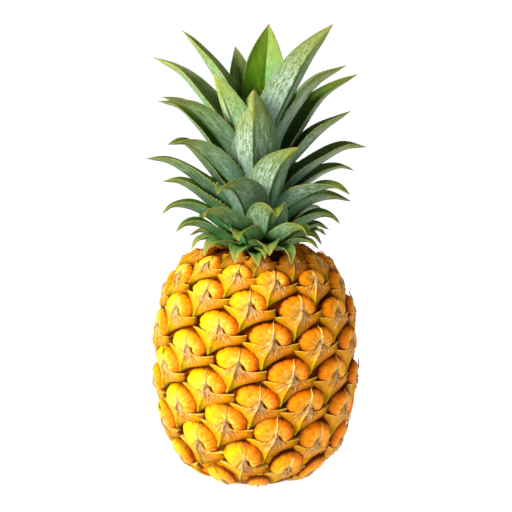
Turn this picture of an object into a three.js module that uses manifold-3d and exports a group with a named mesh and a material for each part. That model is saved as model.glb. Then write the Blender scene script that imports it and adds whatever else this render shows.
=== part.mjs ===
// Pineapple standing upright on the small flat spot at its base.
// Millimetres, +Z up, origin at the centre of the flat spot, front towards -Y.
import * as THREE from "three";
import { ConvexHull } from "three/addons/math/ConvexHull.js";
import { mergeVertices } from "three/addons/utils/BufferGeometryUtils.js";
import Module from "manifold-3d";

const wasm = await Module();
wasm.setup();

// ---------- driving dimensions ----------
const FRUIT_DIAMETER = 114.8;       // widest, over the fruitlets
const FRUIT_HEIGHT = 133.5;         // flat spot to the shoulder under the crown
const REST_RADIUS = 17;             // outer radius of the flat spot
const PEDUNCLE_RADIUS = 9.3;        // cut stem under the fruit
const PEDUNCLE_DEPTH = 5;
const GAP = 0.3;                    // clearance between neighbouring pieces
const CREVICE_DEPTH = 3.0;          // groove between fruitlets
const DOME_RISE = 4.5;              // eye centre above the bract knot
const LEAF_THICKNESS = 1.25;        // along the midrib near the base
const LEAF_EDGE = 0.45;             // along the margins and at the tip

// outer profile of the fruit as [radius, z], from the flat spot up
const PROFILE = [[17, 0], [24.5, 1.2], [30, 3], [35.8, 6.7], [43, 13.4], [49.5, 24], [54, 37.4],
  [56.6, 53.4], [57.4, 69.5], [56.8, 85.5], [54.4, 100], [49.5, 113.5], [43, 122.9], [34, 129],
  [24, 132.5], [14, FRUIT_HEIGHT]].map(([r, z]) => [r * FRUIT_DIAMETER / 114.8, z]);

// outline of the short stem inside the crown as [radius, z]
const STEM = [[0, 133.8], [12.5, 133.8], [13.2, 136], [12.2, 141], [10.9, 147], [9.8, 153], [8.6, 160],
  [7.2, 167], [6.0, 174], [4.6, 181], [3.0, 187], [0, 190]];

// fruitlets in growth order: [index, degrees round from the front, millimetres up the profile]
const FRUITLETS = [
  [-7, 90.1, 8.2], [-6, 227.6, 7.2], [-5, 3.5, 6.3], [-4, 142.8, 19.0], [-3, 275.0, 12.6], [-2, 56.3, 20.6],
  [-1, 195.4, 24.6], [0, 327.0, 15.0], [1, 110.5, 32.1], [2, 248.1, 27.3], [3, 24.5, 30.2], [4, 163.2, 38.8],
  [5, 292.0, 31.8], [6, 76.0, 41.4], [7, 215.9, 41.2], [8, 352.3, 37.4], [9, 131.0, 49.8], [10, 265.0, 42.9],
  [11, 42.2, 48.0], [12, 183.6, 53.6], [13, 322.0, 47.7], [14, 97.5, 57.7], [15, 236.3, 54.3], [16, 11.9, 54.5],
  [17, 151.4, 64.0], [18, 286.1, 55.8], [19, 62.9, 64.6], [20, 204.1, 65.8], [21, 342.6, 62.3], [22, 119.0, 71.5],
  [23, 255.3, 65.6], [24, 31.6, 70.7], [25, 171.8, 76.4], [26, 310.5, 69.7], [27, 86.6, 77.4], [28, 224.5, 77.0],
  [29, 2.2, 74.2], [30, 139.6, 85.7], [31, 275.3, 76.2], [32, 51.7, 86.1], [33, 192.3, 88.0], [34, 331.3, 82.4],
  [35, 106.1, 93.4], [36, 243.8, 87.2], [37, 20.7, 88.5], [38, 160.1, 98.1], [39, 297.8, 90.4], [40, 71.1, 100.4],
  [41, 212.7, 99.2], [42, 350.4, 95.6], [43, 126.6, 107.7], [44, 264.6, 98.9], [45, 39.2, 105.2], [46, 180.5, 109.9],
  [47, 318.4, 102.9], [48, 93.6, 115.3], [49, 233.2, 110.2], [50, 9.5, 109.3], [51, 148.3, 119.4], [52, 283.5, 109.0],
  [53, 57.8, 120.2], [54, 200.9, 121.0], [55, 338.5, 115.4], [56, 113.3, 127.9], [57, 252.2, 119.7], [58, 28.4, 124.3],
  [59, 168.7, 131.1], [60, 304.4, 122.5], [61, 76.5, 134.1], [62, 221.4, 131.5], [63, 356.4, 128.8], [64, 136.5, 139.6],
  [65, 272.9, 130.8], [66, 45.9, 140.2], [67, 189.2, 141.6], [68, 326.5, 134.5], [69, 99.9, 146.7], [70, 241.8, 141.3],
  [71, 13.5, 142.1], [72, 156.9, 150.7], [73, 292.7, 141.0], [74, 68.2, 152.2], [75, 209.6, 151.4], [76, 346.3, 147.4],
  [77, 124.7, 158.2], [78, 261.2, 150.3], [79, 36.4, 156.1], [80, 177.4, 161.1], [81, 314.6, 152.6], [82, 92.5, 164.2],
  [83, 230.0, 161.1], [84, 5.6, 160.1], [85, 145.2, 170.0], [86, 282.1, 161.1], [87, 60.3, 169.4], [89, 335.0, 166.1]
];

// crown leaves from the lowest up: [name, degrees round, width, gutter half angle, twist, midrib points]
const LEAVES = [
  ["leaf_01", -3, 9, 35, 0, [[-0.1, -18.0, 134.6], [0.3, -32.0, 133.2], [0.5, -40.0, 133.6], [1.0, -44.5, 131.9], [1.6, -47.5, 128.3]]],
  ["leaf_02", 8, 7, 35, 0, [[3.0, -15.8, 134.9], [2.5, -30.0, 135.1], [4.1, -38.0, 136.5], [4.9, -43.0, 135.5], [5.2, -46.0, 132.4]]],
  ["leaf_03", -50, 11.5, 45, 0, [[-10.7, -9.6, 135.3], [-13.4, -20.0, 135.0], [-19.9, -27.0, 139.0], [-25.2, -32.0, 138.2], [-27.9, -36.0, 132.3]]],
  ["leaf_04", 62, 11.5, 45, 0, [[14.1, -7.0, 135.3], [16.2, -17.0, 134.5], [23.8, -22.0, 138.7], [29.7, -25.0, 138.9], [34.4, -28.0, 135.3]]],
  ["leaf_05", -72, 11.5, 45, 0, [[-13.4, -4.6, 135.3], [-18.5, -11.0, 134.6], [-26.1, -14.0, 139.0], [-32.1, -16.0, 138.0], [-35.2, -18.0, 133.7]]],
  ["leaf_06", 126, 11.5, 45, 0, [[13.0, 8.8, 135.3], [22.6, 6.2, 134.6], [30.1, 10.4, 138.5], [35.2, 14.2, 138.8], [39.6, 17.1, 135.3]]],
  ["leaf_07", -178, 11.5, 45, 0, [[0.3, 15.0, 135.3], [-6.2, 23.5, 135.0], [-7.4, 33.1, 139.0], [-8.1, 40.4, 138.2], [-10.1, 44.7, 132.3]]],
  ["leaf_08", -27, 12, 40, 0, [[-6.0, -13.4, 135.5], [-6.3, -27.0, 135.1], [-8.9, -35.0, 136.5], [-10.5, -41.5, 134.9], [-10.7, -46.0, 130.0]]],
  ["leaf_09", 38, 12, 40, 0, [[10.1, -11.8, 135.5], [11.2, -24.0, 134.6], [16.0, -32.0, 136.3], [18.7, -38.0, 134.8], [19.4, -42.5, 129.1]]],
  ["leaf_10", 84, 12.5, 48, 0, [[14.8, -1.5, 136.0], [19.1, -1.9, 135.3], [26.3, -2.7, 139.1], [32.4, -3.3, 138.6], [36.8, -3.8, 133.6]]],
  ["leaf_11", -102, 10.5, 48, 0, [[-12.8, 2.9, 136.0], [-17.5, 3.9, 134.3], [-24.8, 5.5, 138.0], [-30.9, 6.8, 139.4], [-37.0, 8.1, 136.7]]],
  ["leaf_12", 150, 12.5, 48, 0, [[7.9, 12.1, 136.0], [9.9, 15.7, 135.3], [13.4, 21.5, 138.9], [16.3, 26.6, 138.5], [18.3, 30.4, 133.8]]],
  ["leaf_13", -150, 10.5, 48, 0, [[-6.1, 12.1, 136.0], [-8.7, 16.4, 134.2], [-12.5, 23.3, 138.1], [-15.8, 29.1, 139.6], [-19.1, 34.6, 136.7]]],
  ["leaf_14", 12, 16, 52, 0, [[4.0, -14.7, 136.5], [3.6, -24.0, 135.2], [5.7, -32.0, 137.7], [6.9, -38.0, 138.7], [7.4, -42.5, 137.6], [7.5, -45.5, 134.5]]],
  ["leaf_15", -72, 15.5, 55, 0, [[-13.8, -4.8, 136.5], [-14.7, -5.0, 134.7], [-23.4, -8.0, 141.4], [-31.6, -10.7, 145.7], [-38.7, -13.0, 146.1], [-43.8, -14.6, 142.7]]],
  ["leaf_16", 100, 13, 52, 0, [[16.2, 2.7, 136.5], [19.7, 3.3, 134.9], [27.5, 4.7, 140.4], [34.2, 5.8, 143.0], [41.0, 7.0, 140.3]]],
  ["leaf_17", -131, 15.5, 55, 0, [[-10.8, 10.2, 136.5], [-11.4, 10.6, 134.9], [-17.6, 16.3, 140.9], [-23.4, 21.5, 144.8], [-28.5, 25.9, 145.1], [-32.1, 28.9, 142.1]]],
  ["leaf_18", 133, 13, 52, 0, [[12.2, 10.6, 136.8], [14.9, 13.1, 135.2], [20.7, 18.3, 140.7], [25.7, 22.9, 143.3], [30.7, 27.6, 140.6]]],
  ["leaf_19", 172, 13, 52, 0, [[3.1, 15.3, 137.3], [3.6, 19.2, 135.7], [4.9, 27.2, 141.4], [6.0, 34.1, 144.1], [6.9, 41.4, 141.2]]],
  ["leaf_20", -22, 17.5, 58, 4, [[-4.7, -13.9, 137.5], [-4.1, -23.0, 137.8], [-5.7, -30.0, 143.4], [-7.8, -37.0, 146.2], [-8.9, -42.0, 145.4], [-9.2, -45.0, 142.4]]],
  ["leaf_21", 48, 17.5, 58, -6, [[11.4, -9.4, 138.0], [12.9, -22.0, 138.7], [18.2, -28.0, 143.6], [23.0, -34.0, 147.3], [26.7, -39.0, 147.6], [28.1, -42.0, 144.0]]],
  ["leaf_22", 80, 16, 55, 0, [[16.2, -2.7, 138.0], [20.2, -3.4, 140.6], [28.5, -4.8, 147.0], [36.7, -6.2, 150.3], [42.2, -7.2, 149.6], [46.6, -8.0, 146.1]]],
  ["leaf_23", 12, 23.5, 64, 0, [[4.0, -13.7, 140.0], [6.8, -22.0, 141.5], [7.3, -29.0, 150.4], [8.9, -36.0, 157.5], [11.0, -42.0, 159.0], [11.6, -46.0, 155.6]]],
  ["leaf_24", -80, 17.5, 55, 0, [[-13.7, -2.6, 140.0], [-17.4, -3.3, 142.2], [-27.3, -5.1, 150.4], [-37.2, -6.9, 155.1], [-46.0, -8.4, 155.7], [-51.4, -9.3, 151.7]]],
  ["leaf_25", 119, 16, 55, 0, [[14.6, 7.5, 140.0], [17.7, 9.1, 142.2], [24.0, 12.5, 147.7], [30.3, 15.9, 150.6], [34.5, 18.3, 150.0], [37.8, 20.2, 147.0]]],
  ["leaf_26", -155, 17.5, 55, 0, [[-5.3, 13.6, 140.0], [-6.7, 16.9, 142.1], [-10.6, 25.9, 149.9], [-14.5, 34.7, 154.4], [-18.1, 42.4, 154.9], [-20.3, 47.0, 151.1]]],
  ["leaf_27", -52, 19.5, 60, 8, [[-9.9, -8.6, 141.0], [-10.7, -20.0, 143.4], [-16.0, -27.0, 150.0], [-21.9, -34.0, 155.6], [-26.2, -38.0, 156.8], [-27.6, -41.0, 154.2]]],
  ["leaf_28", 86, 17.5, 57, 0, [[14.2, -0.9, 145.0], [14.7, -0.9, 145.2], [24.6, -1.6, 153.2], [34.5, -2.3, 158.3], [44.5, -3.0, 159.6], [52.9, -3.6, 157.8]]],
  ["leaf_29", -28, 24, 62, 8, [[-4.8, -11.5, 146.0], [-5.2, -22.0, 154.8], [-8.4, -28.0, 163.4], [-12.7, -36.0, 170.1], [-18.0, -43.0, 171.2], [-20.5, -47.0, 168.0]]],
  ["leaf_30", -84, 18.5, 58, 0, [[-11.6, -1.4, 146.0], [-14.7, -1.7, 148.2], [-25.1, -2.8, 156.2], [-34.5, -3.8, 164.2], [-42.7, -4.7, 168.7], [-51.2, -5.6, 169.3]]],
  ["leaf_31", 146, 17.5, 57, 0, [[8.6, 10.8, 146.0], [8.8, 11.1, 146.2], [14.3, 18.7, 153.8], [19.7, 26.3, 158.7], [25.0, 34.1, 159.8], [29.4, 40.8, 158.2]]],
  ["leaf_32", 60, 19.5, 57, 0, [[12.6, -6.5, 147.0], [13.0, -6.6, 151.2], [22.2, -11.7, 159.2], [32.0, -17.2, 165.6], [43.3, -23.6, 168.8], [51.4, -28.4, 165.4]]],
  ["leaf_33", -130, 18.5, 58, 0, [[-8.6, 8.4, 147.0], [-10.5, 10.0, 148.7], [-16.8, 15.6, 155.1], [-22.5, 20.6, 161.5], [-27.6, 25.0, 165.2], [-32.8, 29.4, 165.6]]],
  ["leaf_34", 178, 19.5, 57, 0, [[1.9, 13.0, 149.0], [2.1, 13.2, 153.2], [2.8, 23.5, 161.2], [3.5, 34.4, 167.6], [4.1, 47.2, 170.8], [4.3, 56.8, 167.4]]],
  ["leaf_35", -90, 21, 58, 0, [[-10.5, -0.0, 150.0], [-14.1, -0.0, 154.6], [-25.2, -0.0, 163.0], [-36.2, -0.0, 172.0], [-48.3, -0.0, 179.2], [-60.3, -0.0, 181.2]]],
  ["leaf_36", 32, 22.5, 62, -6, [[7.4, -9.3, 152.0], [7.9, -24.0, 165.6], [11.7, -28.0, 177.7], [17.5, -34.0, 187.3], [23.5, -42.0, 193.2]]],
  ["leaf_37", 111, 16.5, 57, 0, [[12.8, 4.3, 152.0], [15.3, 5.2, 154.9], [26.4, 9.3, 163.8], [37.6, 13.5, 171.1], [47.8, 17.4, 173.9], [55.2, 20.2, 171.6]]],
  ["leaf_38", -104, 16, 58, 0, [[-9.0, 2.7, 153.0], [-10.8, 3.2, 157.5], [-19.1, 5.3, 166.1], [-26.9, 7.4, 175.4], [-36.4, 9.8, 185.7], [-40.8, 11.0, 188.9]]],
  ["leaf_39", -148, 16, 58, 0, [[-4.2, 9.3, 153.0], [-5.1, 11.1, 157.5], [-9.4, 18.7, 166.1], [-13.5, 25.8, 175.4], [-18.5, 34.5, 185.7], [-20.8, 38.5, 188.9]]],
  ["leaf_40", 141, 16.5, 57, 0, [[9.3, 9.3, 155.0], [10.7, 10.9, 157.3], [16.8, 18.1, 164.5], [22.9, 25.3, 170.3], [28.4, 32.0, 172.6], [32.4, 37.0, 170.6]]],
  ["leaf_41", 103, 20, 58, 0, [[12.5, 2.5, 156.0], [14.7, 2.9, 160.3], [26.4, 5.5, 171.2], [38.6, 8.3, 179.7], [50.3, 10.9, 185.5], [61.7, 13.5, 185.8]]],
  ["leaf_42", -60, 21.5, 60, 0, [[-7.7, -5.5, 158.0], [-10.2, -7.1, 164.6], [-19.4, -12.8, 176.6], [-28.6, -18.3, 186.2], [-37.7, -23.7, 192.7], [-47.4, -29.3, 192.9]]],
  ["leaf_43", -3, 26.5, 62, 0, [[1.5, -9.5, 160.0], [-0.5, -21.0, 180.5], [-0.8, -25.5, 203.0], [-1.0, -24.0, 222.4]]],
  ["leaf_44", 97, 19, 60, 0, [[12.0, 1.2, 162.0], [15.2, 1.6, 172.3], [26.3, 2.8, 185.5], [37.9, 4.2, 197.0], [52.4, 5.9, 206.7]]],
  ["leaf_45", 160, 19, 60, 0, [[5.5, 9.4, 162.0], [6.8, 11.9, 171.8], [10.8, 21.3, 184.3], [14.9, 31.3, 195.3], [19.9, 43.9, 204.5]]],
  ["leaf_46", -122, 18.5, 60, 0, [[-5.9, 5.0, 165.0], [-10.8, 8.2, 169.1], [-20.3, 14.5, 181.1], [-30.5, 21.2, 194.3], [-42.4, 29.0, 205.7], [-54.8, 36.8, 208.7]]],
  ["leaf_47", -62, 21.5, 60, 0, [[-6.2, -4.5, 166.0], [-8.5, -5.9, 174.5], [-16.2, -10.3, 188.4], [-25.9, -15.8, 201.8], [-36.6, -21.8, 212.9], [-50.1, -29.1, 218.7]]],
  ["leaf_48", -150, 18.5, 60, 0, [[-2.5, 8.2, 167.0], [-5.0, 12.9, 170.7], [-9.9, 22.2, 181.5], [-15.0, 32.0, 193.3], [-21.2, 43.4, 203.6], [-27.7, 55.0, 206.4]]],
  ["leaf_49", 116, 19.5, 60, 0, [[10.4, 3.9, 168.0], [15.8, 6.3, 180.6], [26.4, 11.1, 197.3], [38.6, 16.7, 213.9], [56.8, 25.3, 225.1]]],
  ["leaf_50", 92, 20.5, 60, 0, [[10.5, 0.3, 172.0], [14.1, 0.4, 192.5], [23.4, 0.7, 209.1], [34.4, 1.0, 222.9], [49.8, 1.6, 232.6]]],
  ["leaf_51", -108, 20, 62, 0, [[-5.0, 2.5, 174.0], [-8.6, 3.7, 179.8], [-18.0, 7.0, 197.2], [-29.6, 11.0, 213.4], [-41.9, 15.2, 226.9], [-56.8, 20.2, 235.1]]],
  ["leaf_52", -38, 20.5, 62, 0, [[-2.3, -6.3, 176.0], [-8.5, -14.0, 193.3], [-12.8, -20.0, 206.1], [-17.6, -25.0, 219.3], [-22.7, -29.0, 231.9]]],
  ["leaf_53", 42, 21.5, 62, -4, [[8.2, -5.9, 179.0], [10.7, -12.0, 202.9], [20.4, -16.0, 224.8], [28.4, -20.0, 240.4], [41.6, -26.0, 257.6]]],
  ["leaf_54", -98, 20.5, 62, 0, [[-3.5, 0.9, 182.0], [-5.2, 1.2, 191.3], [-14.0, 2.6, 212.2], [-23.9, 4.1, 229.7], [-32.2, 5.3, 241.7], [-40.2, 6.5, 251.3]]],
  ["leaf_55", 168, 16.5, 60, 0, [[4.2, 5.9, 183.0], [-3.6, 10.0, 202.4], [-6.9, 16.0, 220.1], [-9.2, 20.0, 232.5], [-11.3, 22.0, 240.9]]],
  ["leaf_56", 176, 25, 62, 0, [[3.4, 6.0, 184.0], [4.7, 9.0, 204.2], [5.3, 14.0, 223.1], [6.4, 18.0, 239.4], [7.3, 19.0, 253.7]]]
];

// ---------- helpers ----------
const material = (color, roughness) => new THREE.MeshStandardMaterial({ color, roughness, metalness: 0 });

function meshOf(name, geometry, mat) {
  const m = new THREE.Mesh(geometry, mat);
  m.name = name;
  return m;
}

function toSolid(geometry) {
  const g = geometry.clone();
  g.deleteAttribute("normal");
  g.deleteAttribute("uv");
  const w = mergeVertices(g, 1e-4);
  return new wasm.Manifold(new wasm.Mesh({
    numProp: 3,
    vertProperties: new Float32Array(w.attributes.position.array),
    triVerts: new Uint32Array(w.index.array),
  }));
}

function toGeometry(solid) {
  const m = solid.getMesh();
  const g = new THREE.BufferGeometry();
  const n = m.vertProperties.length / m.numProp;
  const p = new Float32Array(n * 3);
  for (let i = 0; i < n; i++) for (let k = 0; k < 3; k++) p[3 * i + k] = m.vertProperties[i * m.numProp + k];
  g.setAttribute("position", new THREE.BufferAttribute(p, 3));
  g.setIndex(new THREE.BufferAttribute(new Uint32Array(m.triVerts), 1));
  g.computeVertexNormals();
  return g;
}

function indexed(points, faces) {
  const g = new THREE.BufferGeometry();
  g.setAttribute("position", new THREE.BufferAttribute(new Float32Array(points.flatMap((p) => [p.x, p.y, p.z])), 3));
  g.setIndex(faces.flat());
  g.computeVertexNormals();
  return g;
}

// ---------- fruit ----------
const ARC = [0];
for (let i = 1; i < PROFILE.length; i++) {
  ARC.push(ARC[i - 1] + Math.hypot(PROFILE[i][0] - PROFILE[i - 1][0], PROFILE[i][1] - PROFILE[i - 1][1]));
}
const ARC_END = ARC[ARC.length - 1];

function profileAt(s) {
  const t = Math.min(Math.max(s, 0), ARC_END - 1e-6);
  let i = 0;
  while (ARC[i + 1] < t) i++;
  const f = (t - ARC[i]) / (ARC[i + 1] - ARC[i]);
  const a = PROFILE[i], b = PROFILE[i + 1];
  const at = (k) => {
    const p = PROFILE[Math.max(k - 1, 0)], q = PROFILE[Math.min(k + 1, PROFILE.length - 1)];
    const l = Math.hypot(q[0] - p[0], q[1] - p[1]);
    return [(q[1] - p[1]) / l, -(q[0] - p[0]) / l];
  };
  const n0 = at(i), n1 = at(i + 1);
  let nr = n0[0] + (n1[0] - n0[0]) * f, nz = n0[1] + (n1[1] - n0[1]) * f;
  const l = Math.hypot(nr, nz);
  return { r: a[0] + (b[0] - a[0]) * f, z: a[1] + (b[1] - a[1]) * f, nr: nr / l, nz: nz / l };
}

function onFruit(theta, s, out) {
  const q = profileAt(s);
  const r = q.r + q.nr * out;
  return new THREE.Vector3(r * Math.sin(theta), -r * Math.cos(theta), Math.max(q.z + q.nz * out, 0));
}

// the skin is triangulated on a unit sphere and then laid on the profile
function fruitSolid(extra) {
  const list = [];                                  // [theta, s, out]
  const byIndex = new Map(FRUITLETS.map(([i, deg, s]) => [i, { th: deg * Math.PI / 180, s }]));
  const near = (a, ref) => {
    let d = a.th - ref.th;
    while (d > Math.PI) d -= 2 * Math.PI;
    while (d < -Math.PI) d += 2 * Math.PI;
    return d;
  };
  const corner = (i, j, k) => {
    const a = byIndex.get(i), b = byIndex.get(j), c = byIndex.get(k);
    if (!a || !b || !c) return null;
    return [a.th + (near(b, a) + near(c, a)) / 3, (a.s + b.s + c.s) / 3 + DOME_RISE * 0.55];
  };
  const limit = (s) => Math.min(Math.max(s, 3), ARC_END - 4);
  for (const [i, deg, s] of FRUITLETS) {
    const me = byIndex.get(i);
    const top = limit(s + DOME_RISE);
    list.push([me.th, top, extra]);                                  // eye centre
    list.push([me.th, limit(s - 2.2), extra - 0.9]);                 // bract under the eye
    const cs = [[i, i + 5, i + 13], [i, i - 5, i + 8], [i, i - 13, i - 5], [i, i + 8, i + 13],
      [i, i - 8, i + 5], [i, i - 13, i - 8]].map((c) => corner(...c));
    for (const c of cs) {
      if (!c) continue;
      let d = c[0] - me.th;
      while (d > Math.PI) d -= 2 * Math.PI;
      while (d < -Math.PI) d += 2 * Math.PI;
      list.push([me.th + d * 0.6, limit(top + (c[1] - top) * 0.6), extra - 0.5]);
    }
    for (const c of [cs[0], cs[3]]) if (c) list.push([c[0], limit(c[1]), extra - CREVICE_DEPTH]);
    for (const step of [5, 8, 13]) {                                  // groove half way to each neighbour
      const b = byIndex.get(i + step);
      if (b) list.push([me.th + near(b, me) / 2, limit((me.s + b.s) / 2 + DOME_RISE * 0.55), extra - CREVICE_DEPTH * 0.75]);
    }
  }
  const ring = (count, s, phase) => {
    for (let k = 0; k < count; k++) list.push([(k + phase) * 2 * Math.PI / count, s, extra]);
  };
  ring(24, 0, 0);
  ring(18, ARC_END, 0.5);
  const total = PROFILE[0][0] + ARC_END + PROFILE[PROFILE.length - 1][0];
  const dirs = list.map(([th, s]) => {
    const phi = Math.PI * (s + PROFILE[0][0]) / total;
    return new THREE.Vector3(Math.sin(phi) * Math.sin(th), -Math.sin(phi) * Math.cos(th), -Math.cos(phi));
  });
  const pts = list.map(([th, s, out]) => onFruit(th, s, out));
  dirs.push(new THREE.Vector3(0, 0, -1), new THREE.Vector3(0, 0, 1));
  pts.push(new THREE.Vector3(0, 0, -Math.max(extra, 0)), new THREE.Vector3(0, 0, FRUIT_HEIGHT + extra));
  if (extra > 0) for (const p of pts) if (p.z < 0.5) p.z = -extra;
  const where = new Map();
  dirs.forEach((d, k) => where.set(d, k));
  const hull = new ConvexHull().setFromPoints(dirs);
  const faces = [];
  for (const f of hull.faces) {
    const ids = [];
    let e = f.edge;
    do { ids.push(where.get(e.head().point)); e = e.next; } while (e !== f.edge);
    for (let k = 1; k + 1 < ids.length; k++) faces.push([ids[0], ids[k], ids[k + 1]]);
  }
  return toSolid(indexed(pts, faces));
}

function cylinder(radius, z0, z1, sides) {
  const g = new THREE.CylinderGeometry(radius, radius, z1 - z0, sides);
  g.rotateX(Math.PI / 2);
  g.translate(0, 0, (z0 + z1) / 2);
  return toSolid(g);
}

// ---------- leaves ----------
const clampPair = (xs, ys, t) => {
  if (t <= xs[0]) return ys[0];
  for (let i = 1; i < xs.length; i++) if (t <= xs[i]) return ys[i - 1] + (ys[i] - ys[i - 1]) * (t - xs[i - 1]) / (xs[i] - xs[i - 1]);
  return ys[ys.length - 1];
};
const WIDTH_T = [0, 0.08, 0.2, 0.35, 0.5, 0.65, 0.78, 0.88, 0.95, 1];
const WIDTH_W = [0.42, 0.62, 0.90, 1.0, 0.97, 0.86, 0.65, 0.41, 0.19, 0.0];
// the lower leaves, rooted below this height, run out into a drawn-out tip
const DRAWN_TIP_BELOW = 152.5;
const WIDTH_DRAWN = [0.42, 0.62, 0.90, 1.0, 0.95, 0.77, 0.46, 0.23, 0.10, 0.0];

// closed gutter-shaped blade; grow > 0 gives a fatter copy used to cut clearances
function blade([, deg, width, half, twist, mid], grow) {
  const P = mid.map((p) => new THREE.Vector3(...p));
  const curve = new THREE.CatmullRomCurve3(P, false, "centripetal");
  const length = curve.getLength();
  const rows = length > 55 ? 9 : length > 38 ? 8 : 6;
  const cols = width > 14 ? 4 : 2;
  const phi = deg * Math.PI / 180;
  const side = new THREE.Vector3(Math.cos(phi), Math.sin(phi), 0);
  const points = [], faces = [];
  const upper = [], lower = [];
  for (let i = 0; i < rows; i++) {
    const t = (i / rows) * 0.985 + (i === 0 ? 0 : 0.015 * i / rows);
    const c = curve.getPointAt(Math.min(t, 1));
    const T = curve.getTangentAt(Math.min(t, 1));
    if (i === 0 && grow > 0) c.addScaledVector(T, -grow);
    const S = side.clone().addScaledVector(T, -side.dot(T)).normalize();
    const N = new THREE.Vector3().crossVectors(T, S);
    const a = twist * Math.PI / 180 * Math.pow(t, 1.5) * 3;
    const S2 = S.clone().multiplyScalar(Math.cos(a)).addScaledVector(N, Math.sin(a));
    const N2 = N.clone().multiplyScalar(Math.cos(a)).addScaledVector(S, -Math.sin(a));
    const hw = clampPair(WIDTH_T, mid[0][2] < DRAWN_TIP_BELOW ? WIDTH_DRAWN : WIDTH_W, t) * width / 2 + grow;
    const B = half * Math.PI / 180 * clampPair([0, 0.25, 0.6, 1], [0.9, 1, 0.95, 0.75], t);
    const up = [], lo = [];
    for (let j = 0; j <= cols; j++) {
      const u = -1 + 2 * j / cols;
      const lat = hw * Math.sin(B * u) / Math.sin(B);
      const h = hw * (1 - Math.cos(B * u)) / Math.sin(B);
      const q = c.clone().addScaledVector(S2, lat).addScaledVector(N2, h);
      const n = N2.clone().multiplyScalar(Math.cos(B * u)).addScaledVector(S2, -Math.sin(B * u));
      const thick = LEAF_THICKNESS * (1 - 0.55 * t);
      const th = Math.max(LEAF_EDGE, thick * (1 - Math.abs(u)) + LEAF_EDGE * Math.abs(u)) / 2 + grow;
      up.push(points.push(q.clone().addScaledVector(n, th)) - 1);
      lo.push(points.push(q.clone().addScaledVector(n, -th)) - 1);
    }
    upper.push(up);
    lower.push(lo);
  }
  const end = curve.getPointAt(1);
  if (grow > 0) end.addScaledVector(curve.getTangentAt(1), grow * 2);
  const tip = points.push(end) - 1;
  for (let i = 0; i + 1 < rows; i++) {
    for (let j = 0; j < cols; j++) {
      const a = upper[i][j], b = upper[i][j + 1], c = upper[i + 1][j + 1], d = upper[i + 1][j];
      faces.push([a, b, c], [a, c, d]);
      const e = lower[i][j], f = lower[i][j + 1], g = lower[i + 1][j + 1], h = lower[i + 1][j];
      faces.push([e, g, f], [e, h, g]);
    }
    const l0 = upper[i][0], l1 = upper[i + 1][0], m0 = lower[i][0], m1 = lower[i + 1][0];
    faces.push([l0, l1, m1], [l0, m1, m0]);
    const r0 = upper[i][cols], r1 = upper[i + 1][cols], s0 = lower[i][cols], s1 = lower[i + 1][cols];
    faces.push([r0, s1, r1], [r0, s0, s1]);
  }
  const u = upper[rows - 1], v = lower[rows - 1];
  for (let j = 0; j < cols; j++) {
    faces.push([u[j], u[j + 1], tip], [v[j + 1], v[j], tip]);
    faces.push([upper[0][j + 1], upper[0][j], lower[0][j]], [upper[0][j + 1], lower[0][j], lower[0][j + 1]]);
  }
  faces.push([u[0], tip, v[0]], [u[cols], v[cols], tip]);
  // faces wound for outward normals
  const g = indexed(points, faces.map(([p, q, r]) => [p, r, q]));
  return toSolid(g);
}

function largest(solid) {
  const parts = solid.decompose();
  let best = parts[0];
  for (const p of parts) if (p.volume() > best.volume()) best = p;
  return best;
}

const near = (a, b) => {
  const p = a.boundingBox(), q = b.boundingBox();
  return [0, 1, 2].every((k) => p.min[k] <= q.max[k] && q.min[k] <= p.max[k]);
};

// ---------- assembly ----------
const root = new THREE.Group();
root.name = "pineapple";

const socket = cylinder(PEDUNCLE_RADIUS + GAP, -1, PEDUNCLE_DEPTH + GAP, 28);
const fruit = fruitSolid(0).subtract(socket);
const fruitFat = fruitSolid(GAP);
root.add(meshOf("fruit_body", toGeometry(fruit), material(0xe8a21c, 0.5)));
root.add(meshOf("peduncle_stub", toGeometry(cylinder(PEDUNCLE_RADIUS, 0, PEDUNCLE_DEPTH, 28)), material(0xb59a62, 0.85)));

const lathe = (pts) => {
  const g = new THREE.LatheGeometry(pts.map(([r, z]) => new THREE.Vector2(r, z)), 20);
  g.rotateX(Math.PI / 2);
  return toSolid(g);
};
const stem = lathe(STEM);
const stemFat = lathe(STEM.map(([r, z], k) => [r === 0 ? 0 : r + GAP, k < 2 ? z - GAP : z + GAP]));
root.add(meshOf("crown_stem", toGeometry(stem), material(0x9fae6a, 0.7)));

const done = [];
const bodies = new Map();
for (let k = LEAVES.length - 1; k >= 0; k--) {
  let body = blade(LEAVES[k], 0);
  for (const cut of [stemFat, fruitFat, ...done]) if (near(body, cut)) body = body.subtract(cut);
  body = largest(body);
  done.push(blade(LEAVES[k], GAP));
  bodies.set(k, body);
}
for (let k = 0; k < LEAVES.length; k++) {
  const age = k / (LEAVES.length - 1);
  const tone = new THREE.Color().setHSL(0.27 + 0.12 * age, 0.38 - 0.14 * age, 0.34 + 0.08 * age);
  root.add(meshOf(LEAVES[k][0], toGeometry(bodies.get(k)), material(tone, 0.55)));
}

export default root;
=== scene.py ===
import math
import bpy
import numpy as np
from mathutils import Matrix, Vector
from mathutils.geometry import delaunay_2d_cdt


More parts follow.
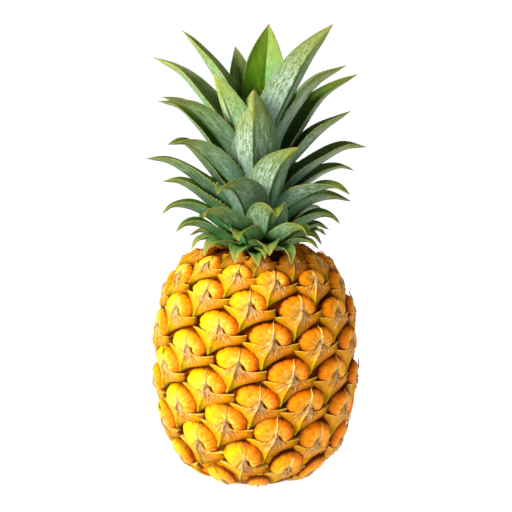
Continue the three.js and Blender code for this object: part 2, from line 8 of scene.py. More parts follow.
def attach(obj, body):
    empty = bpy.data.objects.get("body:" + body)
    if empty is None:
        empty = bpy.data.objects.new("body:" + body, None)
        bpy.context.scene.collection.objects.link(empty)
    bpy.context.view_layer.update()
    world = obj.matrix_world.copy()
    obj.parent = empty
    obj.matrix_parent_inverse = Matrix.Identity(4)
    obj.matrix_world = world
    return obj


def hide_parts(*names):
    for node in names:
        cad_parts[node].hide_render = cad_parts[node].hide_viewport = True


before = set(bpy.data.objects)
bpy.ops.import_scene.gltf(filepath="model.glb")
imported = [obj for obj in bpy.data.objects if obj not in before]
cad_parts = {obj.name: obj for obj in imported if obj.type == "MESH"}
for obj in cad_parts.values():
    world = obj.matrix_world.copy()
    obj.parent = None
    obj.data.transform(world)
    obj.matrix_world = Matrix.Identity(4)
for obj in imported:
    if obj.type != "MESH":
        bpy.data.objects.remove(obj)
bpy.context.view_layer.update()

MM = 0.001

# ---------------------------------------------------------------- data (mm, degrees)
PROFILE = np.array([(17, 0), (24.5, 1.2), (30, 3), (35.8, 6.7), (43, 13.4), (49.5, 24), (54, 37.4), (56.6, 53.4),
                    (57.4, 69.5), (56.8, 85.5), (54.4, 100), (49.5, 113.5), (43, 122.9), (34, 129), (24, 132.5), (14, 133.5)])
# fruitlets in growth order: index, degrees round from the front, mm up the profile
FRUITLETS = [
    (-7, 90.1, 8.2), (-6, 227.6, 7.2), (-5, 3.5, 6.3), (-4, 142.8, 19.0), (-3, 275.0, 12.6), (-2, 56.3, 20.6),
    (-1, 195.4, 24.6), (0, 327.0, 15.0), (1, 110.5, 32.1), (2, 248.1, 27.3), (3, 24.5, 30.2), (4, 163.2, 38.8),
    (5, 292.0, 31.8), (6, 76.0, 41.4), (7, 215.9, 41.2), (8, 352.3, 37.4), (9, 131.0, 49.8), (10, 265.0, 42.9),
    (11, 42.2, 48.0), (12, 183.6, 53.6), (13, 322.0, 47.7), (14, 97.5, 57.7), (15, 236.3, 54.3), (16, 11.9, 54.5),
    (17, 151.4, 64.0), (18, 286.1, 55.8), (19, 62.9, 64.6), (20, 204.1, 65.8), (21, 342.6, 62.3), (22, 119.0, 71.5),
    (23, 255.3, 65.6), (24, 31.6, 70.7), (25, 171.8, 76.4), (26, 310.5, 69.7), (27, 86.6, 77.4), (28, 224.5, 77.0),
    (29, 2.2, 74.2), (30, 139.6, 85.7), (31, 275.3, 76.2), (32, 51.7, 86.1), (33, 192.3, 88.0), (34, 331.3, 82.4),
    (35, 106.1, 93.4), (36, 243.8, 87.2), (37, 20.7, 88.5), (38, 160.1, 98.1), (39, 297.8, 90.4), (40, 71.1, 100.4),
    (41, 212.7, 99.2), (42, 350.4, 95.6), (43, 126.6, 107.7), (44, 264.6, 98.9), (45, 39.2, 105.2), (46, 180.5, 109.9),
    (47, 318.4, 102.9), (48, 93.6, 115.3), (49, 233.2, 110.2), (50, 9.5, 109.3), (51, 148.3, 119.4), (52, 283.5, 109.0),
    (53, 57.8, 120.2), (54, 200.9, 121.0), (55, 338.5, 115.4), (56, 113.3, 127.9), (57, 252.2, 119.7), (58, 28.4, 124.3),
    (59, 168.7, 131.1), (60, 304.4, 122.5), (61, 76.5, 134.1), (62, 221.4, 131.5), (63, 356.4, 128.8), (64, 136.5, 139.6),
    (65, 272.9, 130.8), (66, 45.9, 140.2), (67, 189.2, 141.6), (68, 326.5, 134.5), (69, 99.9, 146.7), (70, 241.8, 141.3),
    (71, 13.5, 142.1), (72, 156.9, 150.7), (73, 292.7, 141.0), (74, 68.2, 152.2), (75, 209.6, 151.4), (76, 346.3, 147.4),
    (77, 124.7, 158.2), (78, 261.2, 150.3), (79, 36.4, 156.1), (80, 177.4, 161.1), (81, 314.6, 152.6), (82, 92.5, 164.2),
    (83, 230.0, 161.1), (84, 5.6, 160.1), (85, 145.2, 170.0), (86, 282.1, 161.1), (87, 60.3, 169.4), (88, 197.8, 171.8),
    (89, 335.0, 166.1), (91, 250.5, 172.2)]
# crown leaves: node, degrees round, width, gutter half angle, twist, midrib points
LEAVES = [
    ("leaf_01", -3, 9, 35, 0, [(-0.1, -18.0, 134.6), (0.3, -32.0, 133.2), (0.5, -40.0, 133.6), (1.0, -44.5, 131.9), (1.6, -47.5, 128.3)]),
    ("leaf_02", 8, 7, 35, 0, [(3.0, -15.8, 134.9), (2.5, -30.0, 135.1), (4.1, -38.0, 136.5), (4.9, -43.0, 135.5), (5.2, -46.0, 132.4)]),
    ("leaf_03", -50, 11.5, 45, 0, [(-10.7, -9.6, 135.3), (-13.4, -20.0, 135.0), (-19.9, -27.0, 139.0), (-25.2, -32.0, 138.2), (-27.9, -36.0, 132.3)]),
    ("leaf_04", 62, 11.5, 45, 0, [(14.1, -7.0, 135.3), (16.2, -17.0, 134.5), (23.8, -22.0, 138.7), (29.7, -25.0, 138.9), (34.4, -28.0, 135.3)]),
    ("leaf_05", -72, 11.5, 45, 0, [(-13.4, -4.6, 135.3), (-18.5, -11.0, 134.6), (-26.1, -14.0, 139.0), (-32.1, -16.0, 138.0), (-35.2, -18.0, 133.7)]),
    ("leaf_06", 126, 11.5, 45, 0, [(13.0, 8.8, 135.3), (22.6, 6.2, 134.6), (30.1, 10.4, 138.5), (35.2, 14.2, 138.8), (39.6, 17.1, 135.3)]),
    ("leaf_07", -178, 11.5, 45, 0, [(0.3, 15.0, 135.3), (-6.2, 23.5, 135.0), (-7.4, 33.1, 139.0), (-8.1, 40.4, 138.2), (-10.1, 44.7, 132.3)]),
    ("leaf_08", -27, 12, 40, 0, [(-6.0, -13.4, 135.5), (-6.3, -27.0, 135.1), (-8.9, -35.0, 136.5), (-10.5, -41.5, 134.9), (-10.7, -46.0, 130.0)]),
    ("leaf_09", 38, 12, 40, 0, [(10.1, -11.8, 135.5), (11.2, -24.0, 134.6), (16.0, -32.0, 136.3), (18.7, -38.0, 134.8), (19.4, -42.5, 129.1)]),
    ("leaf_10", 84, 12.5, 48, 0, [(14.8, -1.5, 136.0), (19.1, -1.9, 135.3), (26.3, -2.7, 139.1), (32.4, -3.3, 138.6), (36.8, -3.8, 133.6)]),
    ("leaf_11", -102, 10.5, 48, 0, [(-12.8, 2.9, 136.0), (-17.5, 3.9, 134.3), (-24.8, 5.5, 138.0), (-30.9, 6.8, 139.4), (-37.0, 8.1, 136.7)]),
    ("leaf_12", 150, 12.5, 48, 0, [(7.9, 12.1, 136.0), (9.9, 15.7, 135.3), (13.4, 21.5, 138.9), (16.3, 26.6, 138.5), (18.3, 30.4, 133.8)]),
    ("leaf_13", -150, 10.5, 48, 0, [(-6.1, 12.1, 136.0), (-8.7, 16.4, 134.2), (-12.5, 23.3, 138.1), (-15.8, 29.1, 139.6), (-19.1, 34.6, 136.7)]),
    ("leaf_14", 12, 16, 52, 0, [(4.0, -14.7, 136.5), (3.6, -24.0, 135.2), (5.7, -32.0, 137.7), (6.9, -38.0, 138.7), (7.4, -42.5, 137.6), (7.5, -45.5, 134.5)]),
    ("leaf_15", -72, 15.5, 55, 0, [(-13.8, -4.8, 136.5), (-14.7, -5.0, 134.7), (-23.4, -8.0, 141.4), (-31.6, -10.7, 145.7), (-38.7, -13.0, 146.1), (-43.8, -14.6, 142.7)]),
    ("leaf_16", 100, 13, 52, 0, [(16.2, 2.7, 136.5), (19.7, 3.3, 134.9), (27.5, 4.7, 140.4), (34.2, 5.8, 143.0), (41.0, 7.0, 140.3)]),
    ("leaf_17", -131, 15.5, 55, 0, [(-10.8, 10.2, 136.5), (-11.4, 10.6, 134.9), (-17.6, 16.3, 140.9), (-23.4, 21.5, 144.8), (-28.5, 25.9, 145.1), (-32.1, 28.9, 142.1)]),
    ("leaf_18", 133, 13, 52, 0, [(12.2, 10.6, 136.8), (14.9, 13.1, 135.2), (20.7, 18.3, 140.7), (25.7, 22.9, 143.3), (30.7, 27.6, 140.6)]),
    ("leaf_19", 172, 13, 52, 0, [(3.1, 15.3, 137.3), (3.6, 19.2, 135.7), (4.9, 27.2, 141.4), (6.0, 34.1, 144.1), (6.9, 41.4, 141.2)]),
    ("leaf_20", -22, 17.5, 58, 4, [(-4.7, -13.9, 137.5), (-4.1, -23.0, 137.8), (-5.7, -30.0, 143.4), (-7.8, -37.0, 146.2), (-8.9, -42.0, 145.4), (-9.2, -45.0, 142.4)]),
    ("leaf_21", 48, 17.5, 58, -6, [(11.4, -9.4, 138.0), (12.9, -22.0, 138.7), (18.2, -28.0, 143.6), (23.0, -34.0, 147.3), (26.7, -39.0, 147.6), (28.1, -42.0, 144.0)]),
    ("leaf_22", 80, 16, 55, 0, [(16.2, -2.7, 138.0), (20.2, -3.4, 140.6), (28.5, -4.8, 147.0), (36.7, -6.2, 150.3), (42.2, -7.2, 149.6), (46.6, -8.0, 146.1)]),
    ("leaf_23", 12, 23.5, 64, 0, [(4.0, -13.7, 140.0), (6.8, -22.0, 141.5), (7.3, -29.0, 150.4), (8.9, -36.0, 157.5), (11.0, -42.0, 159.0), (11.6, -46.0, 155.6)]),
    ("leaf_24", -80, 17.5, 55, 0, [(-13.7, -2.6, 140.0), (-17.4, -3.3, 142.2), (-27.3, -5.1, 150.4), (-37.2, -6.9, 155.1), (-46.0, -8.4, 155.7), (-51.4, -9.3, 151.7)]),
    ("leaf_25", 119, 16, 55, 0, [(14.6, 7.5, 140.0), (17.7, 9.1, 142.2), (24.0, 12.5, 147.7), (30.3, 15.9, 150.6), (34.5, 18.3, 150.0), (37.8, 20.2, 147.0)]),
    ("leaf_26", -155, 17.5, 55, 0, [(-5.3, 13.6, 140.0), (-6.7, 16.9, 142.1), (-10.6, 25.9, 149.9), (-14.5, 34.7, 154.4), (-18.1, 42.4, 154.9), (-20.3, 47.0, 151.1)]),
    ("leaf_27", -52, 19.5, 60, 8, [(-9.9, -8.6, 141.0), (-10.7, -20.0, 143.4), (-16.0, -27.0, 150.0), (-21.9, -34.0, 155.6), (-26.2, -38.0, 156.8), (-27.6, -41.0, 154.2)]),
    ("leaf_28", 86, 17.5, 57, 0, [(14.2, -0.9, 145.0), (14.7, -0.9, 145.2), (24.6, -1.6, 153.2), (34.5, -2.3, 158.3), (44.5, -3.0, 159.6), (52.9, -3.6, 157.8)]),
    ("leaf_29", -28, 24, 62, 8, [(-4.8, -11.5, 146.0), (-5.2, -22.0, 154.8), (-8.4, -28.0, 163.4), (-12.7, -36.0, 170.1), (-18.0, -43.0, 171.2), (-20.5, -47.0, 168.0)]),
    ("leaf_30", -84, 18.5, 58, 0, [(-11.6, -1.4, 146.0), (-14.7, -1.7, 148.2), (-25.1, -2.8, 156.2), (-34.5, -3.8, 164.2), (-42.7, -4.7, 168.7), (-51.2, -5.6, 169.3)]),
    ("leaf_31", 146, 17.5, 57, 0, [(8.6, 10.8, 146.0), (8.8, 11.1, 146.2), (14.3, 18.7, 153.8), (19.7, 26.3, 158.7), (25.0, 34.1, 159.8), (29.4, 40.8, 158.2)]),
    ("leaf_32", 60, 19.5, 57, 0, [(12.6, -6.5, 147.0), (13.0, -6.6, 151.2), (22.2, -11.7, 159.2), (32.0, -17.2, 165.6), (43.3, -23.6, 168.8), (51.4, -28.4, 165.4)]),
    ("leaf_33", -130, 18.5, 58, 0, [(-8.6, 8.4, 147.0), (-10.5, 10.0, 148.7), (-16.8, 15.6, 155.1), (-22.5, 20.6, 161.5), (-27.6, 25.0, 165.2), (-32.8, 29.4, 165.6)]),
    ("leaf_34", 178, 19.5, 57, 0, [(1.9, 13.0, 149.0), (2.1, 13.2, 153.2), (2.8, 23.5, 161.2), (3.5, 34.4, 167.6), (4.1, 47.2, 170.8), (4.3, 56.8, 167.4)]),
    ("leaf_35", -90, 21, 58, 0, [(-10.5, -0.0, 150.0), (-14.1, -0.0, 154.6), (-25.2, -0.0, 163.0), (-36.2, -0.0, 172.0), (-48.3, -0.0, 179.2), (-60.3, -0.0, 181.2)]),
    ("leaf_36", 32, 22.5, 62, -6, [(7.4, -9.3, 152.0), (7.9, -24.0, 165.6), (11.7, -28.0, 177.7), (17.5, -34.0, 187.3), (23.5, -42.0, 193.2)]),
    ("leaf_37", 111, 16.5, 57, 0, [(12.8, 4.3, 152.0), (15.3, 5.2, 154.9), (26.4, 9.3, 163.8), (37.6, 13.5, 171.1), (47.8, 17.4, 173.9), (55.2, 20.2, 171.6)]),
    ("leaf_38", -104, 16, 58, 0, [(-9.0, 2.7, 153.0), (-10.8, 3.2, 157.5), (-19.1, 5.3, 166.1), (-26.9, 7.4, 175.4), (-36.4, 9.8, 185.7), (-40.8, 11.0, 188.9)]),
    ("leaf_39", -148, 16, 58, 0, [(-4.2, 9.3, 153.0), (-5.1, 11.1, 157.5), (-9.4, 18.7, 166.1), (-13.5, 25.8, 175.4), (-18.5, 34.5, 185.7), (-20.8, 38.5, 188.9)]),
    ("leaf_40", 141, 16.5, 57, 0, [(9.3, 9.3, 155.0), (10.7, 10.9, 157.3), (16.8, 18.1, 164.5), (22.9, 25.3, 170.3), (28.4, 32.0, 172.6), (32.4, 37.0, 170.6)]),
    ("leaf_41", 103, 20, 58, 0, [(12.5, 2.5, 156.0), (14.7, 2.9, 160.3), (26.4, 5.5, 171.2), (38.6, 8.3, 179.7), (50.3, 10.9, 185.5), (61.7, 13.5, 185.8)]),
    ("leaf_42", -60, 21.5, 60, 0, [(-7.7, -5.5, 158.0), (-10.2, -7.1, 164.6), (-19.4, -12.8, 176.6), (-28.6, -18.3, 186.2), (-37.7, -23.7, 192.7), (-47.4, -29.3, 192.9)]),
    ("leaf_43", -3, 26.5, 62, 0, [(1.5, -9.5, 160.0), (-0.5, -21.0, 180.5), (-0.8, -25.5, 203.0), (-1.0, -24.0, 222.4)]),
    ("leaf_44", 97, 19, 60, 0, [(12.0, 1.2, 162.0), (15.2, 1.6, 172.3), (26.3, 2.8, 185.5), (37.9, 4.2, 197.0), (52.4, 5.9, 206.7)]),
    ("leaf_45", 160, 19, 60, 0, [(5.5, 9.4, 162.0), (6.8, 11.9, 171.8), (10.8, 21.3, 184.3), (14.9, 31.3, 195.3), (19.9, 43.9, 204.5)]),
    ("leaf_46", -122, 18.5, 60, 0, [(-5.9, 5.0, 165.0), (-10.8, 8.2, 169.1), (-20.3, 14.5, 181.1), (-30.5, 21.2, 194.3), (-42.4, 29.0, 205.7), (-54.8, 36.8, 208.7)]),
    ("leaf_47", -62, 21.5, 60, 0, [(-6.2, -4.5, 166.0), (-8.5, -5.9, 174.5), (-16.2, -10.3, 188.4), (-25.9, -15.8, 201.8), (-36.6, -21.8, 212.9), (-50.1, -29.1, 218.7)]),
    ("leaf_48", -150, 18.5, 60, 0, [(-2.5, 8.2, 167.0), (-5.0, 12.9, 170.7), (-9.9, 22.2, 181.5), (-15.0, 32.0, 193.3), (-21.2, 43.4, 203.6), (-27.7, 55.0, 206.4)]),
    ("leaf_49", 116, 19.5, 60, 0, [(10.4, 3.9, 168.0), (15.8, 6.3, 180.6), (26.4, 11.1, 197.3), (38.6, 16.7, 213.9), (56.8, 25.3, 225.1)]),
    ("leaf_50", 92, 20.5, 60, 0, [(10.5, 0.3, 172.0), (14.1, 0.4, 192.5), (23.4, 0.7, 209.1), (34.4, 1.0, 222.9), (49.8, 1.6, 232.6)]),
    ("leaf_51", -108, 20, 62, 0, [(-5.0, 2.5, 174.0), (-8.6, 3.7, 179.8), (-18.0, 7.0, 197.2), (-29.6, 11.0, 213.4), (-41.9, 15.2, 226.9), (-56.8, 20.2, 235.1)]),
    ("leaf_52", -38, 20.5, 62, 0, [(-2.3, -6.3, 176.0), (-8.5, -14.0, 193.3), (-12.8, -20.0, 206.1), (-17.6, -25.0, 219.3), (-22.7, -29.0, 231.9)]),
    ("leaf_53", 42, 21.5, 62, -4, [(8.2, -5.9, 179.0), (10.7, -12.0, 202.9), (20.4, -16.0, 224.8), (28.4, -20.0, 240.4), (41.6, -26.0, 257.6)]),
    ("leaf_54", -98, 20.5, 62, 0, [(-3.5, 0.9, 182.0), (-5.2, 1.2, 191.3), (-14.0, 2.6, 212.2), (-23.9, 4.1, 229.7), (-32.2, 5.3, 241.7), (-40.2, 6.5, 251.3)]),
    ("leaf_55", 168, 16.5, 60, 0, [(4.2, 5.9, 183.0), (-3.6, 10.0, 202.4), (-6.9, 16.0, 220.1), (-9.2, 20.0, 232.5), (-11.3, 22.0, 240.9)]),
    ("leaf_56", 176, 25, 62, 0, [(3.4, 6.0, 184.0), (4.7, 9.0, 204.2), (5.3, 14.0, 223.1), (6.4, 18.0, 239.4), (7.3, 19.0, 253.7)])]


def lin(r, g, b):
    def f(c):
        c /= 255.0
        return c / 12.92 if c <= 0.04045 else ((c + 0.055) / 1.055) ** 2.4
    return (f(r), f(g), f(b), 1.0)


def smooth(a, b, x):
    t = np.clip((np.asarray(x, float) - a) / (b - a), 0, 1)
    return t * t * (3 - 2 * t)


# ---------------------------------------------------------------- node helpers
class Nodes:
    def __init__(self, name):
        self.mat = bpy.data.materials.new(name)
        self.mat.use_nodes = True
        self.t = self.mat.node_tree
        self.t.nodes.clear()
        self.out = self.t.nodes.new("ShaderNodeOutputMaterial")
        self.bsdf = self.t.nodes.new("ShaderNodeBsdfPrincipled")
        self.t.links.new(self.bsdf.outputs[0], self.out.inputs[0])

    def _in(self, sock, v):
        if v is None:
            return
        if isinstance(v, bpy.types.NodeSocket):
            self.t.links.new(v, sock)
        else:
            sock.default_value = v

    def attr(self, name):
        n = self.t.nodes.new("ShaderNodeAttribute")
        n.attribute_name = name
        return n.outputs["Vector"]

    def xyz(self, v):
        n = self.t.nodes.new("ShaderNodeSeparateXYZ")
        self._in(n.inputs[0], v)
        return n.outputs[0], n.outputs[1], n.outputs[2]

    def vec(self, x, y, z):
        n = self.t.nodes.new("ShaderNodeCombineXYZ")
        for k, v in enumerate((x, y, z)):
            self._in(n.inputs[k], v)
        return n.outputs[0]

    def m(self, op, a, b=None, c=None, clamp=False):
        n = self.t.nodes.new("ShaderNodeMath")
        n.operation = op
        n.use_clamp = clamp
        for k, v in enumerate((a, b, c)):
            self._in(n.inputs[k], v)
        return n.outputs[0]

    def step(self, v, lo, hi, a=0.0, b=1.0):
        n = self.t.nodes.new("ShaderNodeMapRange")
        n.interpolation_type = "SMOOTHSTEP"
        for k, x in enumerate((v, lo, hi, a, b)):
            self._in(n.inputs[k], x)
        return n.outputs[0]

    def mix(self, f, a, b, mode="MIX"):
        n = self.t.nodes.new("ShaderNodeMix")
        n.data_type = "RGBA"
        n.blend_type = mode
        n.clamp_factor = True
        self._in(n.inputs[0], f)
        self._in(n.inputs[6], a)
        self._in(n.inputs[7], b)
        return n.outputs[2]

    def noise(self, v, scale, detail=3.0, rough=0.55, dist=0.0):
        n = self.t.nodes.new("ShaderNodeTexNoise")
        self._in(n.inputs["Vector"], v)
        n.inputs["Scale"].default_value = scale
        n.inputs["Detail"].default_value = detail
        n.inputs["Roughness"].default_value = rough
        n.inputs["Distortion"].default_value = dist
        return n.outputs[0]

    def voronoi(self, v, scale, feature="F1"):
        n = self.t.nodes.new("ShaderNodeTexVoronoi")
        n.feature = feature
        self._in(n.inputs["Vector"], v)
        n.inputs["Scale"].default_value = scale
        return n.outputs[0]

    def obj(self):
        n = self.t.nodes.new("ShaderNodeTexCoord")
        return n.outputs["Object"]

    def bump(self, h, strength, dist, normal=None):
        n = self.t.nodes.new("ShaderNodeBump")
        n.inputs["Strength"].default_value = strength
        n.inputs["Distance"].default_value = dist
        self._in(n.inputs["Height"], h)
        if normal is not None:
            self._in(n.inputs["Normal"], normal)
        return n.outputs[0]

    def set(self, **kw):
        for k, v in kw.items():
            self._in(self.bsdf.inputs[k.replace("_", " ")], v)


def make_object(name, verts, faces, attrs, mat, smooth_faces=True, sharp=None):
    me = bpy.data.meshes.new(name)
    me.from_pydata([tuple(v) for v in np.asarray(verts) * MM], [], [tuple(int(i) for i in f) for f in faces])
    me.validate()
    for key, arr in attrs.items():
        a = me.attributes.new(key, "FLOAT_VECTOR", "POINT")
        a.data.foreach_set("vector", np.asarray(arr, np.float32).ravel())
    if smooth_faces:
        me.polygons.foreach_set("use_smooth", np.ones(len(me.polygons), bool))
    if sharp is not None:
        me.set_sharp_from_angle(angle=math.radians(sharp))
    me.materials.append(mat)
    me.update()
    ob = bpy.data.objects.new(name, me)
    bpy.context.scene.collection.objects.link(ob)
    return ob


# ---------------------------------------------------------------- fruit surface
def pchip(x, y):
    h = np.diff(x); d = np.diff(y) / h
    m = np.zeros(len(x)); m[0] = d[0]; m[-1] = d[-1]
    for i in range(1, len(x) - 1):
        if d[i - 1] * d[i] > 0:
            w1 = 2 * h[i] + h[i - 1]; w2 = h[i] + 2 * h[i - 1]
            m[i] = (w1 + w2) / (w1 / d[i - 1] + w2 / d[i])
    def f(q):
        q = np.clip(q, x[0], x[-1])
        i = np.clip(np.searchsorted(x, q, side="right") - 1, 0, len(x) - 2)
        t = (q - x[i]) / h[i]
        return (y[i] * (1 + 2 * t) * (1 - t) ** 2 + h[i] * m[i] * t * (1 - t) ** 2
                + y[i + 1] * t * t * (3 - 2 * t) - h[i] * m[i + 1] * t * t * (1 - t))
    return f


ARC = np.r_[0, np.cumsum(np.hypot(*np.diff(PROFILE, axis=0).T))]
S1 = ARC[-1]
_r = pchip(ARC, PROFILE[:, 0]); _z = pchip(ARC, PROFILE[:, 1])
_q = np.linspace(0, S1, 900)
_nr = np.gradient(_z(_q), _q); _nz = -np.gradient(_r(_q), _q)
_k = np.ones(41) / 41
_nr = np.convolve(np.pad(_nr, 20, mode="edge"), _k, "valid"); _nz = np.convolve(np.pad(_nz, 20, mode="edge"), _k, "valid")
_l = np.hypot(_nr, _nz); _nr /= _l; _nz /= _l


def on_fruit(th, s, h):
    s = np.clip(s, 0, S1)
    nr = np.interp(s, _q, _nr); nz = np.interp(s, _q, _nz)
    r = np.maximum(_r(s) + nr * h, 0.2); z = np.maximum(_z(s) + nz * h, 0.0)
    return np.stack([r * np.sin(th), -r * np.cos(th), z], -1)


KN = {i: (math.radians(d), s) for i, d, s in FRUITLETS}
DTH = math.radians(137.555)


def wrap(a):
    return (a + math.pi) % (2 * math.pi) - math.pi


def frame_of(i):
    th, s = KN[i]
    cols = []
    for step in (8, 13):
        v = []
        if i + step in KN:
            v.append((wrap(KN[i + step][0] - th), KN[i + step][1] - s))
        if i - step in KN:
            v.append((wrap(th - KN[i - step][0]), s - KN[i - step][1]))
        a = np.mean(v, axis=0)
        reg = wrap(DTH * step)
        cols.append((0.5 * a[0] + 0.5 * reg, a[1]))
    A = np.array(cols).T                                    # columns e8, e13 in (theta, s)
    T = np.array([[29.0, -23.0], [30.0, 36.0]])             # the same steps on the flat fruitlet plan
    M = A @ np.linalg.inv(T)
    r = float(_r(np.clip(s, 0, S1)))
    area = abs(np.linalg.det(A)) * r
    return M, math.sqrt(area / 500.0)


# ---- plan of one fruitlet, in plan units (about 0.556 mm), origin at the knot, y up
def rim(phi, seed):
    c, s = np.cos(phi), np.sin(phi)
    ax = np.where(c < 0, 22.5, 21.6)
    ay = np.where(s > 0, 16.8, 11.0)
    p = 2.2
    r = (np.abs(c / ax) ** p + np.abs(s / ay) ** p) ** (-1 / p)
    return r * (1 + 0.020 * np.sin(2 * phi + seed * 9) + 0.014 * np.sin(3 * phi + seed * 21))


DC = np.array([-1.1, 2.6])
LOBES = 13


def crease(x, y, seed):
    """1 along the creases between the lobes of an eye, 0 on the lobes"""
    psi = np.arctan2(y + 0.5, x + 0.4)
    w = psi + 0.10 * np.sin(2.0 * psi + seed * 17) + 0.05 * np.sin(5.0 * psi + seed * 47)
    return (1 - np.abs(np.sin(0.5 * LOBES * w + seed * 20))) ** 2


OUT = np.array([(-29.6, -4.4), (-25.6, -4.1), (-21, -4.3), (-16, -5.0), (-11, -5.8), (-6.5, -5.2), (-3.4, -3.0), (-2.2, 0.2), (-1.5, 3.2),
                (0.2, 4.6), (1.7, 3.0), (2.7, -0.4), (4.6, -3.8), (8, -5.3), (12.6, -5.2), (18, -3.9), (23, -2.6), (26.6, -1.4),
                (28.6, -3.6), (29.2, -7.6), (28.6, -12.0), (20.5, -15.6), (14.0, -18.2), (8.8, -21.0), (4.8, -23.4), (1.0, -26.2), (-2.6, -29.0),
                (-5.4, -32.0), (-8, -33.6), (-10.6, -31.8), (-12.8, -26.5), (-14.6, -21.2), (-17.0, -17.2), (-20.4, -13.8), (-24, -11.0),
                (-27.6, -8.2)])
UPPER = [tuple(q) for q in OUT[:18]]
LOWER = [tuple(q) for q in OUT[18:29]]
LOWER2 = [tuple(q) for q in OUT[28:]] + [tuple(OUT[0])]


def seg_dist(p, a, b):
    a = np.asarray(a, float); b = np.asarray(b, float)
    d = b - a
    t = np.clip(((p - a) @ d) / (d @ d), 0, 1)
    return np.linalg.norm(p - (a + t[:, None] * d), axis=1), t


def dense(poly, step):
    out = []
    n = len(poly)
    for i in range(n):
        a, b = poly[i], poly[(i + 1) % n]
        k = max(1, int(round(np.linalg.norm(b - a) / step)))
        for j in range(k):
            out.append(a + (b - a) * j / k)
    return np.array(out)


def inside(poly, pts):
    x, y = pts[:, 0], pts[:, 1]
    c = np.zeros(len(pts), bool)
    n = len(poly)
    j = n - 1
    for i in range(n):
        xi, yi = poly[i]; xj, yj = poly[j]
        hit = ((yi > y) != (yj > y)) & (x < (xj - xi) * (y - yi) / (yj - yi + 1e-12) + xi)
        c ^= hit
        j = i
    return c


def bract_plan():
    edge = dense(OUT, 1.15)
    gx, gy = np.meshgrid(np.arange(-31, 27, 1.38), np.arange(-35, 8, 1.17))
    gx = gx + (np.arange(gx.shape[0]) % 2)[:, None] * 0.675
    pts = np.c_[gx.ravel(), gy.ravel()]
    pts = pts[inside(OUT, pts)]
    d = np.min([np.linalg.norm(pts - e, axis=1) for e in edge], axis=0)
    pts = pts[d > 0.75]
    verts = [Vector(p) for p in edge] + [Vector(p) for p in pts]
    n = len(edge)
    v, e, f, _, _, _ = delaunay_2d_cdt(verts, [(i, (i + 1) % n) for i in range(n)], [list(range(n))], 1, 1e-5)
    v = np.array([tuple(q) for q in v])
    return v, [tuple(q) for q in f], n


BV, BF, BN = bract_plan()
KEEL = [(-0.2, -2.0), (-2.6, -9.0), (-5.0, -16.5), (-8.0, -31.0)]


def keel_x(y):
    return np.interp(-y, [2.0, 9.0, 16.5, 29.8], [-0.2, -2.6, -5.0, -8.0])


def bract_height(x, y, seed):
    p = np.c_[x, y]
    d1 = np.min([seg_dist(p, KEEL[k], KEEL[k + 1])[0] for k in range(3)], axis=0)
    dl, tl = seg_dist(p, (-1, -4.5), (-30, -4.6))
    dr, tr = seg_dist(p, (1, -4.0), (27.0, -1.8))
    dq, tq = seg_dist(p, (1, -6.0), (25.6, -9.6))
    ridge = -0.35 - 1.7 * (np.hypot(x * 0.60, (y + 2) * 0.85) / 24.0) ** 1.15
    d = np.minimum(np.minimum(d1, dl), np.minimum(dr, dq * 1.2 + 0.4))
    h = ridge - 1.15 * (1 - np.exp(-d / 3.4)) + 0.65 * np.exp(-(d1 / 1.2) ** 2) * smooth(-1, -8, y) * 0.9
    ang = np.arctan2(x - keel_x(y) * 0.2, -(y - 3.0))
    rr = np.hypot(x, y)
    h += 0.40 * np.sin(ang * 24 + seed * 50) * np.exp(-((rr - 8.5) / 6.0) ** 2)
    h += 0.22 * np.sin(ang * 41 + seed * 80) * np.exp(-((rr - 7) / 6.0) ** 2)
    # the lower edges dive under the eyes below
    dlow = np.min([seg_dist(p, LOWER[k], LOWER[k + 1])[0] for k in range(len(LOWER) - 1)]
                  + [seg_dist(p, LOWER2[k], LOWER2[k + 1])[0] for k in range(len(LOWER2) - 2)], axis=0)
    arms = smooth(0, 7, np.hypot(x + 30, y + 5.2)) * smooth(0, 3, np.hypot(x - 26.6, y + 1.4))
    h -= 2.6 * (1 - smooth(0.0, 2.4, dlow)) ** 1.3 * arms
    # the knot stands up as a small tent
    h += 1.35 * np.exp(-((x - 0.1) ** 2 / 3.6 + (y + 0.2) ** 2 / 18.0)) + 0.55 * np.exp(-((x + 0.6) ** 2 / 20.0 + (y + 5) ** 2 / 30.0))
    return h


def edge_marks(x, y):
    p = np.c_[x, y]
    up = np.min([seg_dist(p, UPPER[k], UPPER[k + 1])[0] for k in range(len(UPPER) - 1)], axis=0)
    lo = np.min([seg_dist(p, LOWER[k], LOWER[k + 1])[0] for k in range(len(LOWER) - 1)]
                + [seg_dist(p, LOWER2[k], LOWER2[k + 1])[0] for k in range(len(LOWER2) - 1)], axis=0)
    kl = np.min([seg_dist(p, KEEL[k], KEEL[k + 1])[0] for k in range(3)], axis=0)
    return np.c_[up, lo, kl] / 10.0


def eye_height(X, Y, R, seed, G):
    H = 4.4 * (1 - R ** 3.4) ** 0.50 - 4.4
    dk = np.hypot(X, (Y + 0.5) * 1.1)
    H += 0.45 * np.exp(-((R - 0.64) / 0.20) ** 2) - 1.55 * np.exp(-(dk / 7.2) ** 2)
    q = np.stack([X.ravel(), Y.ravel()], -1)
    dr = seg_dist(q, (2.9, 0.8), (8.0, -5.4))[0].reshape(X.shape)
    dl = seg_dist(q, (-3.0, -0.4), (-6.5, -4.4))[0].reshape(X.shape)
    H -= 2.1 * np.exp(-(dr / 1.35) ** 2) + 0.8 * np.exp(-(dl / 1.7) ** 2)
    H -= 0.72 * G * smooth(0.60, 0.93, R) * (1 - R ** 12)
    H += 0.20 * np.sin(X * 0.55 + seed * 30) * np.cos(Y * 0.6 + seed * 11) * (1 - R ** 3)
    return H


LONG_TIPS = (57, 49, 39, 36, 23, 2, 10, 70, 61, 53, 40, 48, 6, 1, 27, 14, 84, 66, 18)


